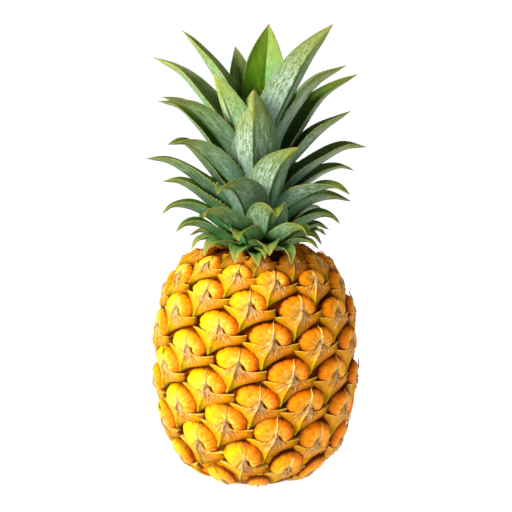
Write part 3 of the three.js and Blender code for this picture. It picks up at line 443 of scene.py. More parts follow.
def build_fruitlets(part):
    """part 0: lower half, part 1: upper half of the fruit"""
    ev, ef, ea, eb = [], [], [], []
    bv, bf, ba, bb, bc = [], [], [], [], []
    NA, NR = 96, 13
    phi = np.linspace(0, 2 * np.pi, NA, endpoint=False)
    rho = np.sin(np.linspace(0, 1, NR + 1) ** 0.92 * np.pi / 2)
    rho[0] = 0
    for num, (i, _, _) in enumerate(FRUITLETS):
        if (num * 2 >= len(FRUITLETS)) != bool(part):
            continue
        rng = np.random.default_rng(1100 + num)
        th0, s0 = KN[i]
        M, k = frame_of(i)
        k = min(max(k, 0.42), 1.12)
        seed = float(rng.random())
        tilt = rng.normal(0, 0.13, 2)
        lift = rng.normal(0, 0.22)
        size = 1 + rng.normal(0, 0.016)
        low = float(smooth(6, 42, s0))                       # flat near the base
        top = float(smooth(0.80, 0.93, s0 / S1))             # dry scales under the crown
        def place(x, y, h):
            q = np.stack([x, y], -1) @ M.T
            return on_fruit(th0 + q[..., 0], s0 + q[..., 1], h)
        # eye
        X = DC[0] + size * rho[1:, None] * rim(phi, seed)[None, :] * np.cos(phi)[None, :]
        Y = DC[1] + size * rho[1:, None] * rim(phi, seed)[None, :] * np.sin(phi)[None, :]
        G = crease(X, Y, seed)
        sh = 1 - (0.050 * G - 0.012) * smooth(0.70, 1.0, rho[1:])[:, None]
        X = DC[0] + (X - DC[0]) * sh; Y = DC[1] + (Y - DC[1]) * sh
        R = np.repeat(rho[1:, None], NA, 1)
        H = eye_height(X, Y, R, seed, G)
        H += (tilt[0] * X + tilt[1] * Y) * 0.06 + lift
        H *= k * (0.55 + 0.45 * low)
        H = np.minimum(H, 0.45)
        x0, y0 = DC
        h0 = float(eye_height(np.array([x0]), np.array([y0]), np.array([0.0]), seed, np.array([0.0]))[0]) + lift
        P = place(X, Y, H).reshape(-1, 3)
        c = place(np.array([x0]), np.array([y0]), np.array([min(h0 * k * (0.55 + 0.45 * low), 0.45)]))
        under = place(DC[0] + (X[-1] - DC[0]) * 0.93, DC[1] + (Y[-1] - DC[1]) * 0.93, np.full(NA, -6.2 * k))
        uc = place(np.array([x0]), np.array([y0]), np.array([-6.2 * k]))
        base = sum(len(v) for v in ev)
        n = NR * NA
        ev.append(np.vstack([P, c, under, uc]))
        ax = np.r_[X.ravel(), x0, X[-1], x0]; ay = np.r_[Y.ravel(), y0, Y[-1], y0]
        ea.append(np.c_[ax / 30, ay / 30, np.full(len(ax), seed)])
        gg = np.r_[G.ravel(), 0, G[-1], 0]; rr = np.r_[R.ravel(), 0, np.full(NA, 1.1), 1.1]
        eb.append(np.c_[gg, rr, np.full(len(ax), s0 / S1)])
        ids = np.arange(n).reshape(NR, NA) + base
        for a in range(NA):
            b = (a + 1) % NA
            ef.append((base + n, ids[0, a], ids[0, b]))
            for j in range(NR - 1):
                ef.append((ids[j, a], ids[j + 1, a], ids[j + 1, b], ids[j, b]))
            u0, u1 = base + n + 1 + a, base + n + 1 + b
            ef.append((ids[NR - 1, a], u0, u1, ids[NR - 1, b]))
            ef.append((u0, base + n + 1 + NA, u1))
        # bract
        wob = np.c_[np.sin(BV[:, 1] * 0.21 + seed * 20), np.sin(BV[:, 0] * 0.17 + seed * 33)] * 0.6
        bx, by = (BV + wob).T
        h = bract_height(BV[:, 0], BV[:, 1], seed) + lift * 0.5
        up = place(bx, by, np.minimum(h * k * (0.6 + 0.4 * low), 1.4))
        lo = place(bx * 0.985, by * 0.985, (h - 2.6) * k)
        base = sum(len(v) for v in bv)
        nb = len(BV)
        bv.append(np.vstack([up, lo]))
        ba.append(np.c_[np.r_[BV[:, 0], BV[:, 0]] / 30, np.r_[BV[:, 1], BV[:, 1]] / 30, np.full(2 * nb, seed)])
        bb.append(np.c_[np.zeros(2 * nb), np.r_[np.zeros(nb), np.ones(nb)], np.full(2 * nb, s0 / S1)])
        bc.append(np.vstack([BE, BE]))
        for f in BF:
            bf.append(tuple(base + q for q in f))
            bf.append(tuple(base + nb + q for q in reversed(f)))
        for q in range(BN):
            r_ = (q + 1) % BN
            bf.append((base + r_, base + q, base + nb + q, base + nb + r_))
        # papery spine: lies over the eye, its dry tip curls up
        m_ = 14
        t = np.linspace(0, 1, m_)
        curl = 2.6 if i in LONG_TIPS else (1.1 * rng.uniform(0, 1) ** 3)
        bend = rng.uniform(-1, 1)
        reach = (18.2 + 1.2 * rng.uniform(-1, 1)) * (1 - 0.30 * top) + (1.6 if i in LONG_TIPS else 0)
        sx = 0.1 - 0.8 * t + 0.7 * np.sin(t * 3 + seed * 9) * t + bend * 1.3 * smooth(0.8, 1.1, t)
        sy = 1.0 + reach * t
        Rl = np.hypot((sx - DC[0]) / 22, (sy - DC[1]) / 16.8)
        on = eye_height(sx, sy, np.clip(Rl, 0, 0.92), seed, np.zeros(m_))
        on = np.maximum(on, -2.4)
        on = on * (1 - 0.8 * np.exp(-(t / 0.16) ** 2)) + 0.55 * np.exp(-(t / 0.2) ** 2)
        hs = (on + 0.30 + lift) * k * (0.55 + 0.45 * low) + curl * smooth(0.55, 1.0, t) ** 1.3 + 2.4 * top * smooth(0.15, 0.8, t)
        wdt = ((0.95 * (1 - t) ** 1.1 + 0.28) * (1 + 1.6 * top * (1 - t) ** 0.5)) * (1 - smooth(0.9, 1.05, t) * 0.6)
        tall = (0.60 * (1 - t) + 0.20) * k
        base = sum(len(v) for v in bv)
        ring = []
        for (dx, dh) in ((-1, -0.9), (-0.55, 0.15), (0, 0.75), (0.55, 0.15), (1, -0.9)):
            ring.append(place(sx + dx * wdt, sy, hs + dh * tall))
        ring = np.stack(ring, 1)
        q5 = 5
        tipp = place(np.array([sx[-1] + bend * 0.8]), np.array([sy[-1] + 1.5]), np.array([hs[-1] + 0.30 * curl]))
        bv.append(np.vstack([ring.reshape(-1, 3), tipp]))
        nx = np.r_[np.repeat(sx, q5), sx[-1]]; ny = np.r_[np.repeat(sy, q5), sy[-1] + 1.6]
        ba.append(np.c_[nx / 30, ny / 30, np.full(len(nx), seed)])
        bb.append(np.c_[np.ones(len(nx)), np.full(len(nx), 0.0), np.full(len(nx), s0 / S1)])
        dry = np.clip(np.r_[np.repeat(t, q5), 1.0] * (0.55 + 0.22 * curl) + 0.6 * top, 0, 1.2)
        bc.append(np.c_[dry, dry, dry])
        for j in range(m_ - 1):
            for q in range(q5):
                r_ = (q + 1) % q5
                bf.append((base + q5 * j + q, base + q5 * j + q5 + q, base + q5 * j + q5 + r_, base + q5 * j + r_))
        e_ = base + q5 * (m_ - 1)
        for q in range(q5):
            bf.append((e_ + q, base + q5 * m_, e_ + (q + 1) % q5))
        bf.append(tuple(base + q for q in range(q5)))
    return (np.vstack(ev), ef, np.vstack(ea), np.vstack(eb)), (np.vstack(bv), bf, np.vstack(ba), np.vstack(bb), np.vstack(bc))


BE = edge_marks(BV[:, 0], BV[:, 1])


def hash_noise(P, freq, seed=0):
    rng = np.random.default_rng(seed)
    out = np.zeros(P.shape[:-1])
    for _ in range(6):
        d = rng.normal(0, 1, 3); d /= np.linalg.norm(d)
        out += np.sin((P @ d) * freq * rng.uniform(0.7, 1.5) + rng.uniform(0, 6.28))
    return out / 6


def build_core():
    NT = 220
    th = np.linspace(0, 2 * np.pi, NT, endpoint=False)
    rows = []
    # underneath: from the socket wall out over the flat spot, up the side, over the shoulder to the stem
    rows.append(("p", 9.6, 4.0)); rows.append(("p", 9.6, 0.35))
    for r in (10.2, 11.5, 13, 14.5, 16.0, 17.2):
        rows.append(("p", r, 0.0))
    for s in np.r_[np.linspace(1.5, 16, 9), np.linspace(18, 160, 56), np.linspace(162.5, S1, 8)]:
        rows.append(("s", s, 0))
    rows.append(("p", 10.0, 133.3)); rows.append(("p", 5.0, 133.2))
    V = []
    for kind, a, b in rows:
        if kind == "p":
            r = np.full(NT, a) + (0.35 * np.sin(th * 9 + a * 3) + 0.2 * np.sin(th * 23 + a * 7)) * (0.0 if a in (9.6, 5.0) else 1.0)
            z = np.full(NT, b)
            if kind == "p" and b == 0.0:
                z = np.abs(0.10 * np.sin(th * 17 + a) + 0.10 * np.sin(th * 5 + a * 2)) * (0 if a in (13, 14.5) else 1)
            V.append(np.c_[r * np.sin(th), -r * np.cos(th), z])
        else:
            dep = -4.3 * smooth(8, 46, a) * (1 - 0.45 * smooth(150, 172, a)) - 0.5
            dep -= 1.5 * smooth(3, 8, a) * (1 - smooth(8, 46, a))
            h = np.full(NT, dep)
            P0 = on_fruit(th, np.full(NT, a), h)
            h = h + 0.5 * hash_noise(P0, 0.55, 3) * smooth(6, 20, a) + 0.35 * hash_noise(P0, 1.3, 5) * smooth(2, 9, a)
            V.append(on_fruit(th, np.full(NT, a), h))
    n = len(V)
    V = np.vstack(V)
    F = []
    for j in range(n - 1):
        for a in range(NT):
            b = (a + 1) % NT
            F.append((j * NT + a, j * NT + b, (j + 1) * NT + b, (j + 1) * NT + a))
    cb, ct = len(V), len(V) + 1
    V = np.vstack([V, [[0, 0, 4.0]], [[0, 0, 133.2]]])
    for a in range(NT):
        b = (a + 1) % NT
        F.append((cb, b, a)); F.append((ct, (n - 1) * NT + a, (n - 1) * NT + b))
    return V, F


# ---------------------------------------------------------------- materials
def mat_eye():
    N = Nodes("pineapple_eye")
    loc = N.attr("plan"); x, y, seed = N.xyz(loc)
    g, rr, hgt = N.xyz(N.attr("form"))
    P = N.obj()
    ox, oy, oz = N.xyz(P)
    dist = N.m("SQRT", N.m("ADD", N.m("MULTIPLY", x, x), N.m("MULTIPLY", y, y)))       # 0..0.8
    big = N.noise(P, 38, 2)
    fine = N.noise(N.vec(x, y, seed), 8, 4, 0.6)
    psi = N.m("ARCTAN2", N.m("ADD", y, 0.0167), N.m("ADD", x, 0.0133))
    w = N.m("ADD", psi, N.m("MULTIPLY", N.m("SINE", N.m("ADD", N.m("MULTIPLY", psi, 2.0), N.m("MULTIPLY", seed, 17.0))), 0.10))
    w = N.m("ADD", w, N.m("MULTIPLY", N.m("SINE", N.m("ADD", N.m("MULTIPLY", psi, 5.0), N.m("MULTIPLY", seed, 47.0))), 0.05))
    sn = N.m("ABSOLUTE", N.m("SINE", N.m("ADD", N.m("MULTIPLY", w, 6.5), N.m("MULTIPLY", seed, 20.0))))
    line = N.m("MULTIPLY", N.step(sn, 0.20, 0.02), N.step(rr, 0.60, 0.88))
    # painted light and shade: yellow on the left half of each eye and on the left of the fruit, where the lamp falls,
    # deeper orange on each eye's right half and on the fruit's right; also yellower on the lowest rows and varied per
    # eye
    side = N.m("ADD", N.m("MULTIPLY", x, 0.95), N.m("MULTIPLY", N.m("SUBTRACT", fine, 0.5), 0.7))
    side = N.m("ADD", side, N.m("MULTIPLY", ox, 13.0))
    side = N.m("SUBTRACT", side, N.step(hgt, 0.26, 0.10, 0, 0.60))
    side = N.m("ADD", side, N.m("MULTIPLY", N.m("SUBTRACT", seed, 0.5), 0.30))
    col = N.mix(N.step(side, -1.05, -0.05), lin(248, 194, 2), lin(238, 134, 0))
    col = N.mix(N.step(side, -0.10, 0.90), col, lin(232, 114, 0))
    # painted shade: more orange on the right side of the fruit
    col = N.mix(N.step(ox, 0.008, 0.045, 0, 0.75), col, lin(255, 148, 4))
    # painted shade: darker orange-brown towards the rim of each eye, weaker on the left side
    lf = N.step(ox, -0.038, 0.0, 0.30, 1.0)
    col = N.mix(N.m("MULTIPLY", lf, N.step(rr, 0.62, 0.96, 0, 0.88)), col, N.mix(N.step(side, -0.7, 0.6), lin(218, 114, 0), lin(178, 60, 0)))
    # painted shade: darker orange lines in the creases between the lobes
    col = N.mix(N.m("MULTIPLY", line, N.step(fine, 0.3, 0.6, 0.35, 0.75)), col, lin(158, 58, 0))
    # pale flesh showing towards the knot, in rays; stronger on the yellow side that is painted as lit
    ray = N.noise(N.vec(N.m("MULTIPLY", psi, 4.6), N.m("MULTIPLY", dist, 1.3), N.m("MULTIPLY", seed, 31.0)), 3.0, 4, 0.68)
    pale = N.m("MULTIPLY", N.step(N.m("ADD", dist, N.m("MULTIPLY", N.m("SUBTRACT", ray, 0.5), -0.9)), 0.50, 0.12), N.step(fine, 0.30, 0.62))
    col = N.mix(N.m("MULTIPLY", pale, N.step(side, 0.9, -0.4, 0.60, 0.98)), col, lin(255, 228, 96))
    col = N.mix(N.m("MULTIPLY", N.step(ray, 0.55, 0.70), N.step(dist, 0.70, 0.15, 0, 0.75)), col, lin(255, 224, 112))
    col = N.mix(N.m("MULTIPLY", N.step(ray, 0.47, 0.32), N.step(dist, 0.12, 0.30, 0.7, 0.35)), col, lin(200, 84, 0))
    speck = N.voronoi(P, 1000)
    col = N.mix(N.m("MULTIPLY", N.step(speck, 0.22, 0.08), N.step(fine, 0.50, 0.60, 0, 0.8)), col, lin(255, 226, 120))
    col = N.mix(N.m("MULTIPLY", N.step(N.voronoi(P, 760), 0.16, 0.05), N.step(big, 0.5, 0.60, 0, 0.7)), col, lin(140, 60, 4))
    # painted shadow in the slit beside the knot
    ex = N.m("ADD", N.m("MULTIPLY", N.m("SUBTRACT", x, 0.165), 0.77), N.m("MULTIPLY", N.m("ADD", y, 0.075), -0.64))
    ey = N.m("ADD", N.m("MULTIPLY", N.m("SUBTRACT", x, 0.165), 0.64), N.m("MULTIPLY", N.m("ADD", y, 0.075), 0.77))
    # along (0.64,-0.77), across (0.77,0.64)
    al = N.m("ADD", N.m("MULTIPLY", N.m("SUBTRACT", x, 0.165), 0.64), N.m("MULTIPLY", N.m("ADD", y, 0.075), -0.77))
    ac = N.m("ADD", N.m("MULTIPLY", N.m("SUBTRACT", x, 0.165), 0.77), N.m("MULTIPLY", N.m("ADD", y, 0.075), 0.64))
    a1 = N.m("MULTIPLY", al, 6.6); a2 = N.m("MULTIPLY", ac, 19.0)
    pit = N.m("ADD", N.m("MULTIPLY", a1, a1), N.m("MULTIPLY", a2, a2))
    col = N.mix(N.step(pit, 1.5, 0.15, 0, 0.92), col, lin(90, 26, 2))
    # painted shade: a dark band round the rim of each eye and down its hidden wall, weaker on the left side
    col = N.mix(N.m("MULTIPLY", N.step(rr, 0.855, 0.975), N.step(ox, -0.038, 0.0, 0.65, 1.0)), col, lin(96, 36, 0))
    # drier and duller next to the stem end and under the crown; under the crown it is stronger on the right side, which
    # is painted shade
    col = N.mix(N.step(hgt, 0.045, 0.02, 0, 0.7), col, lin(176, 110, 26))
    col = N.mix(N.m("MULTIPLY", N.m("MULTIPLY", N.step(hgt, 0.84, 0.94, 0, 0.75), N.step(big, 0.38, 0.62)), N.step(ox, -0.03, 0.03, 0.35, 1.0)), col, lin(170, 70, 4))
    rough = N.step(fine, 0.3, 0.7, 0.30, 0.46)
    N.set(Base_Color=col, Roughness=rough, Subsurface_Weight=0.03, Specular_IOR_Level=0.06)
    N.bsdf.inputs["Subsurface Radius"].default_value = (0.0024, 0.0011, 0.0002)
    N.bsdf.inputs["Subsurface Scale"].default_value = 1.0
    h = N.m("ADD", N.m("MULTIPLY", ray, 0.8), N.m("MULTIPLY", fine, 0.9))
    N.set(Normal=N.bump(h, 0.6, 0.0008))
    return N.mat


def mat_bract():
    N = Nodes("pineapple_bract")
    loc = N.attr("plan"); x, y, seed = N.xyz(loc)
    spine, under, hgt = N.xyz(N.attr("form"))
    eup, elo, ekl = N.xyz(N.attr("edge"))
    P = N.obj()
    ox, oy, oz = N.xyz(P)
    dist = N.m("SQRT", N.m("ADD", N.m("MULTIPLY", x, x), N.m("MULTIPLY", y, y)))
    fine = N.noise(N.vec(x, y, N.m("MULTIPLY", seed, 7.0)), 8, 4, 0.6)
    big = N.noise(P, 45, 2)
    # painted light and shade: yellow on the left wing of each bract and on the left of the fruit, where the lamp falls,
    # orange on the right wing and on the fruit's right; also yellower low on the fruit and varied per bract
    side = N.m("ADD", N.m("MULTIPLY", x, 0.8), N.m("ADD", N.m("MULTIPLY", N.m("SUBTRACT", fine, 0.5), 0.8), N.m("MULTIPLY", ox, 12.0)))
    side = N.m("SUBTRACT", side, N.step(hgt, 0.26, 0.10, 0, 0.60))
    side = N.m("ADD", side, N.m("MULTIPLY", N.m("SUBTRACT", seed, 0.5), 0.4))
    col = N.mix(N.step(side, -0.95, 0.40), lin(242, 192, 4), lin(222, 138, 0))
    # painted shade: more orange on the right side of the fruit
    col = N.mix(N.step(ox, 0.008, 0.045, 0, 0.75), col, lin(250, 170, 4))
    # deeper and browner towards the lower edges that dive under the eyes below, which is painted shade; olive-green at
    # the lower tip and darker olive-brown at the right wing end
    col = N.mix(N.step(elo, 0.90, 0.30, 0, 0.80), col, N.mix(N.step(side, -0.6, 0.6), lin(200, 126, 0), lin(148, 72, 0)))
    green = N.m("MULTIPLY", N.step(y, -0.46, -0.86), N.step(fine, 0.30, 0.60, 0.35, 0.95))
    col = N.mix(green, col, lin(132, 124, 4))
    col = N.mix(N.m("MULTIPLY", N.step(x, 0.55, 0.86), N.step(fine, 0.3, 0.6, 0.45, 0.85)), col, lin(142, 98, 4))
    # papery middle with streaks fanning out of the knot
    kx = N.m("MULTIPLY", N.m("SUBTRACT", y, -0.02), 0.27)                          # keel line
    dx = N.m("SUBTRACT", x, kx)
    ang = N.m("ARCTAN2", dx, N.m("SUBTRACT", 0.10, y))
    ray = N.noise(N.vec(N.m("MULTIPLY", ang, 6.0), N.m("MULTIPLY", dist, 0.9), N.m("MULTIPLY", seed, 23.0)), 3.2, 4, 0.68)
    ray2 = N.noise(N.vec(N.m("MULTIPLY", ang, 9.0), N.m("MULTIPLY", dist, 1.5), N.m("MULTIPLY", seed, 51.0)), 3.0, 4, 0.68)
    near = N.m("MULTIPLY", N.step(N.m("ADD", dist, N.m("MULTIPLY", N.m("SUBTRACT", ray, 0.5), -1.5)), 0.46, 0.16), N.step(y, 0.12, -0.05))
    right = N.step(dx, 0.01, 0.13)
    left = N.step(dx, -0.05, -0.20)
    band = N.m("MULTIPLY", N.step(dist, 0.12, 0.24), N.step(dist, 0.82, 0.50))
    tan = N.m("MULTIPLY", N.m("MULTIPLY", right, band), N.step(fine, 0.36, 0.58, 0.45, 0.95))
    tan = N.m("MULTIPLY", tan, N.step(x, 0.62, 0.40))
    col = N.mix(N.m("MULTIPLY", tan, 0.75), col, lin(218, 128, 34))
    tanl = N.m("MULTIPLY", N.m("MULTIPLY", left, band), N.step(ray, 0.46, 0.60))
    tanl = N.m("MULTIPLY", tanl, N.step(x, -0.62, -0.36))
    col = N.mix(N.m("MULTIPLY", tanl, 0.60), col, lin(236, 166, 74))
    col = N.mix(N.m("MULTIPLY", near, 0.92), col, lin(240, 196, 132))
    cream = N.m("MULTIPLY", N.m("MULTIPLY", N.step(ray, 0.515, 0.60), band), N.step(dist, 0.72, 0.35))
    col = N.mix(N.m("MULTIPLY", cream, 0.92), col, lin(255, 214, 138))
    dark = N.m("MULTIPLY", N.m("MULTIPLY", N.step(dx, -0.06, 0.03), N.step(dx, 0.50, 0.30)), N.step(ray2, 0.52, 0.60))
    dark = N.m("MULTIPLY", dark, N.m("MULTIPLY", N.step(dist, 0.10, 0.20), N.step(dist, 0.66, 0.44)))
    col = N.mix(N.m("MULTIPLY", dark, 0.92), col, lin(84, 28, 6))
    darkl = N.m("MULTIPLY", N.m("MULTIPLY", N.step(dx, -0.02, -0.10), band), N.step(ray2, 0.57, 0.66))
    col = N.mix(N.m("MULTIPLY", darkl, 0.65), col, lin(150, 84, 16))
    # grey-brown bruise right on the knot
    k1 = N.m("MULTIPLY", x, 21.0); k2 = N.m("MULTIPLY", N.m("ADD", y, 0.06), 5.2)
    kk = N.m("ADD", N.m("MULTIPLY", k1, k1), N.m("MULTIPLY", k2, k2))
    col = N.mix(N.m("MULTIPLY", N.step(kk, 1.4, 0.1), N.step(ray2, 0.38, 0.56, 0.25, 0.95)), col, lin(128, 86, 60))
    # keel, with painted shade along its right flank
    keel = N.m("MULTIPLY", N.step(ekl, 0.085, 0.02), N.step(y, -0.16, -0.30))
    col = N.mix(N.m("MULTIPLY", keel, 0.60), col, lin(246, 192, 24))
    kshade = N.m("MULTIPLY", N.m("MULTIPLY", N.step(ekl, 0.08, 0.14), N.step(ekl, 0.42, 0.20)), N.step(dx, 0.0, 0.04))
    col = N.mix(N.m("MULTIPLY", kshade, N.step(y, -0.20, -0.40, 0, 0.45)), col, lin(150, 84, 4))
    # thin pale line along the free upper edges
    line = N.m("MULTIPLY", N.step(eup, 0.085, 0.02), N.step(dist, 0.12, 0.22))
    col = N.mix(N.m("MULTIPLY", line, 0.75), col, lin(255, 222, 92))
    speck = N.voronoi(P, 1100)
    col = N.mix(N.m("MULTIPLY", N.step(speck, 0.24, 0.08), N.step(big, 0.48, 0.60, 0, 0.65)), col, lin(140, 66, 6))
    # painted shade: dark brown along the edge that is tucked under the eye below
    col = N.mix(N.step(elo, 0.34, 0.08, 0, 0.92), col, lin(92, 38, 0))
    # spine
    sp = N.mix(N.step(eup, 0.06, 0.36), lin(238, 204, 158), lin(246, 206, 104))
    sp = N.mix(N.m("MULTIPLY", N.step(ray2, 0.48, 0.60), 0.5), sp, lin(190, 136, 84))
    sp = N.mix(N.step(eup, 0.46, 0.70, 0, 1.0), sp, N.mix(N.step(fine, 0.4, 0.6), lin(146, 82, 30), lin(84, 38, 18)))
    col = N.mix(spine, col, sp)
    # painted shade: the bract's hidden underside is dark brown
    col = N.mix(N.m("MULTIPLY", under, 0.9), col, lin(112, 36, 2))
    col = N.mix(N.step(hgt, 0.045, 0.02, 0, 0.75), col, lin(160, 108, 40))
    # drier and browner under the crown, stronger on the right side, which is painted shade
    col = N.mix(N.m("MULTIPLY", N.m("MULTIPLY", N.step(hgt, 0.84, 0.94, 0, 0.80), N.step(big, 0.36, 0.60)), N.step(ox, -0.03, 0.03, 0.35, 1.0)), col, N.mix(N.step(fine, 0.4, 0.6), lin(160, 70, 12), lin(204, 124, 40)))
    N.set(Base_Color=col, Roughness=N.step(near, 0.0, 1.0, 0.40, 0.70), Subsurface_Weight=0.02, Specular_IOR_Level=0.04)
    N.bsdf.inputs["Subsurface Radius"].default_value = (0.0018, 0.0009, 0.0002)
    N.bsdf.inputs["Subsurface Scale"].default_value = 1.0
    h = N.m("ADD", N.m("MULTIPLY", ray, 1.0), N.m("MULTIPLY", ray2, 0.8))
    h = N.m("ADD", N.m("MULTIPLY", h, N.step(dist, 0.8, 0.3, 0.25, 1.0)), N.m("MULTIPLY", fine, 0.5))
    N.set(Normal=N.bump(h, 0.95, 0.0012))
    return N.mat


def mat_core():
    N = Nodes("pineapple_crevice")
    P = N.obj()
    ox, oy, oz = N.xyz(P)
    oy_ = oy
    n1 = N.noise(P, 160, 4, 0.6); n2 = N.noise(P, 40, 3)
    # the core shows only in the crevices between the fruitlets: its dark brown is painted shade; it is lighter orange
    # near the base, tan on the flat underside and dark brown again under the crown
    col = N.mix(N.step(n1, 0.35, 0.65), lin(74, 24, 0), lin(134, 58, 0))
    col = N.mix(N.step(oz, 0.036, 0.018), col, N.mix(N.step(n1, 0.35, 0.65), lin(150, 76, 0), lin(224, 148, 10)))
    col = N.mix(N.step(N.noise(N.vec(ox, N.m("MULTIPLY", oy, 1.0), N.m("MULTIPLY", oz, 0.35)), 230, 4, 0.7), 0.55, 0.66, 0, 0.75), col, lin(104, 44, 4))
    col = N.mix(N.step(oz, 0.010, 0.0015), col, N.mix(n2, lin(150, 108, 58), lin(110, 74, 40)))
    col = N.mix(N.step(oz, 0.126, 0.131, 0, 0.8), col, N.mix(n1, lin(130, 62, 16), lin(70, 34, 10)))
    N.set(Base_Color=col, Roughness=0.9, Specular_IOR_Level=0.02, Normal=N.bump(n1, 0.6, 0.0008))
    return N.mat


def mat_leaf(name, warm, bright, low=0.0):
    """warm: younger or drier yellow-green tint; bright: lightness"""
    N = Nodes(name)
    u, t, side = N.xyz(N.attr("leaf"))           # -1..1 across, 0..1 along, 1 on the inner face
    wx, ly, seed = N.xyz(N.attr("span"))         # mm across, mm along, per-leaf number
    tw, tb, tbl = N.xyz(N.attr("tone"))          # per leaf: warmth, lightness, bloom
    au = N.m("ABSOLUTE", u)
    px, py, pz = N.xyz(N.obj())
    warm = N.m("ADD", tw, warm, clamp=True)
    fib = N.noise(N.vec(N.m("MULTIPLY", wx, 1.9), N.m("MULTIPLY", ly, 0.045), N.m("MULTIPLY", seed, 19.0)), 1.6, 3, 0.6)
    fib2 = N.noise(N.vec(N.m("MULTIPLY", wx, 4.5), N.m("MULTIPLY", ly, 0.12), N.m("MULTIPLY", seed, 29.0)), 1.6, 3, 0.6)
    dots = N.noise(N.vec(N.m("MULTIPLY", wx, 3.0), N.m("MULTIPLY", ly, 0.80), N.m("MULTIPLY", seed, 7.0)), 1.0, 2, 0.6)
    dash = N.noise(N.vec(N.m("MULTIPLY", wx, 2.6), N.m("MULTIPLY", ly, 0.36), N.m("MULTIPLY", seed, 3.0)), 1.0, 3, 0.7)
    blot = N.noise(N.vec(N.m("MULTIPLY", wx, 0.30), N.m("MULTIPLY", ly, 0.10), N.m("MULTIPLY", seed, 41.0)), 1.3, 4, 0.62)
    scr = N.noise(N.vec(N.m("MULTIPLY", wx, 1.2), N.m("MULTIPLY", ly, 0.28), N.m("MULTIPLY", seed, 13.0)), 1.5, 3, 0.7)
    mott = N.noise(N.vec(N.m("MULTIPLY", wx, 1.15), N.m("MULTIPLY", ly, 0.20), N.m("MULTIPLY", seed, 5.0)), 1.2, 4, 0.7)
    # outer face: green under a pale waxy bloom that wears off in streaks
    bloom = N.m("ADD", N.m("MULTIPLY", blot, 0.75), N.m("MULTIPLY", fib, 0.45))
    bloom = N.m("ADD", bloom, N.m("MULTIPLY", N.step(t, 0.85, 0.35), 0.12))
    bloom = N.m("ADD", bloom, N.m("MULTIPLY", N.m("SUBTRACT", tbl, 0.5), 0.45))
    og = N.mix(N.step(fib2, 0.36, 0.62), lin(26, 62, 12), lin(84, 126, 26))
    og = N.mix(warm, og, lin(118, 142, 28))
    ob_ = N.mix(N.step(t, 0.08, 0.56), lin(70, 136, 130), lin(190, 208, 190))
    ob_ = N.mix(N.step(t, 0.50, 0.90, 0, 0.85), ob_, lin(146, 166, 58))
    ob_ = N.mix(N.step(fib, 0.64, 0.36, 0, 0.34), ob_, lin(52, 100, 76))
    ob_ = N.mix(N.step(fib2, 0.50, 0.66, 0, 0.34), ob_, lin(216, 230, 222))
    ob_ = N.mix(N.m("MULTIPLY", warm, N.step(t, 0.35, 0.8)), ob_, lin(188, 200, 118))
    # painted shade: darker green towards the margins
    shade = N.m("MULTIPLY", N.step(au, 0.50, 0.98), 0.60)
    ob_ = N.mix(shade, ob_, lin(58, 104, 52))
    og = N.mix(shade, og, lin(24, 56, 14))
    outer = N.mix(N.step(bloom, 0.40, 0.66, 0.24, 0.93), og, ob_)
    # green and yellow-green patches where the bloom is rubbed off, mostly higher up
    patch = N.m("MULTIPLY", N.step(mott, 0.50, 0.56), N.step(t, 0.15, 0.60, 0.12, 0.90))
    outer = N.mix(patch, outer, N.mix(N.m("ADD", warm, N.step(t, 0.5, 0.95, 0, 0.5), clamp=True), lin(62, 110, 12), lin(134, 156, 12)))
    # painted shade: one half of the outer face is darker green, with less bloom
    painted_shade_half = N.m("MULTIPLY", N.m("MULTIPLY", N.step(u, -0.02, 0.08), N.step(blot, 0.62, 0.40, 0.55, 0.98)), 0.80)
    outer = N.mix(painted_shade_half, outer, N.mix(N.step(fib, 0.34, 0.66), N.mix(N.step(t, 0.15, 0.5), lin(24, 74, 52), lin(40, 80, 26)), lin(92, 132, 78)))
    # rows of dark dots and dashes, light scratches
    outer = N.mix(N.m("MULTIPLY", N.step(dots, 0.59, 0.65), 0.70), outer, lin(28, 60, 22))
    outer = N.mix(N.m("MULTIPLY", N.step(dash, 0.565, 0.64), N.step(blot, 0.40, 0.55, 0.35, 0.80)), outer, lin(34, 66, 8))
    outer = N.mix(N.m("MULTIPLY", N.step(scr, 0.62, 0.72), 0.40), outer, lin(206, 216, 186))
    # inner face: deep green with lighter ribs
    inner = N.mix(N.step(fib, 0.32, 0.68), lin(22, 60, 8), lin(70, 122, 22))
    inner = N.mix(N.m("MULTIPLY", N.m("MULTIPLY", N.step(t, 0.15, 0.75), N.step(blot, 0.36, 0.58, 0.40, 0.95)), N.step(tbl, 0.40, 0.95, 0.12, 1.0)), inner, N.mix(N.step(fib2, 0.35, 0.65), lin(96, 106, 70), lin(158, 160, 128)))
    inner = N.mix(warm, inner, N.mix(N.step(fib, 0.32, 0.68), lin(62, 124, 2), lin(128, 176, 14)))
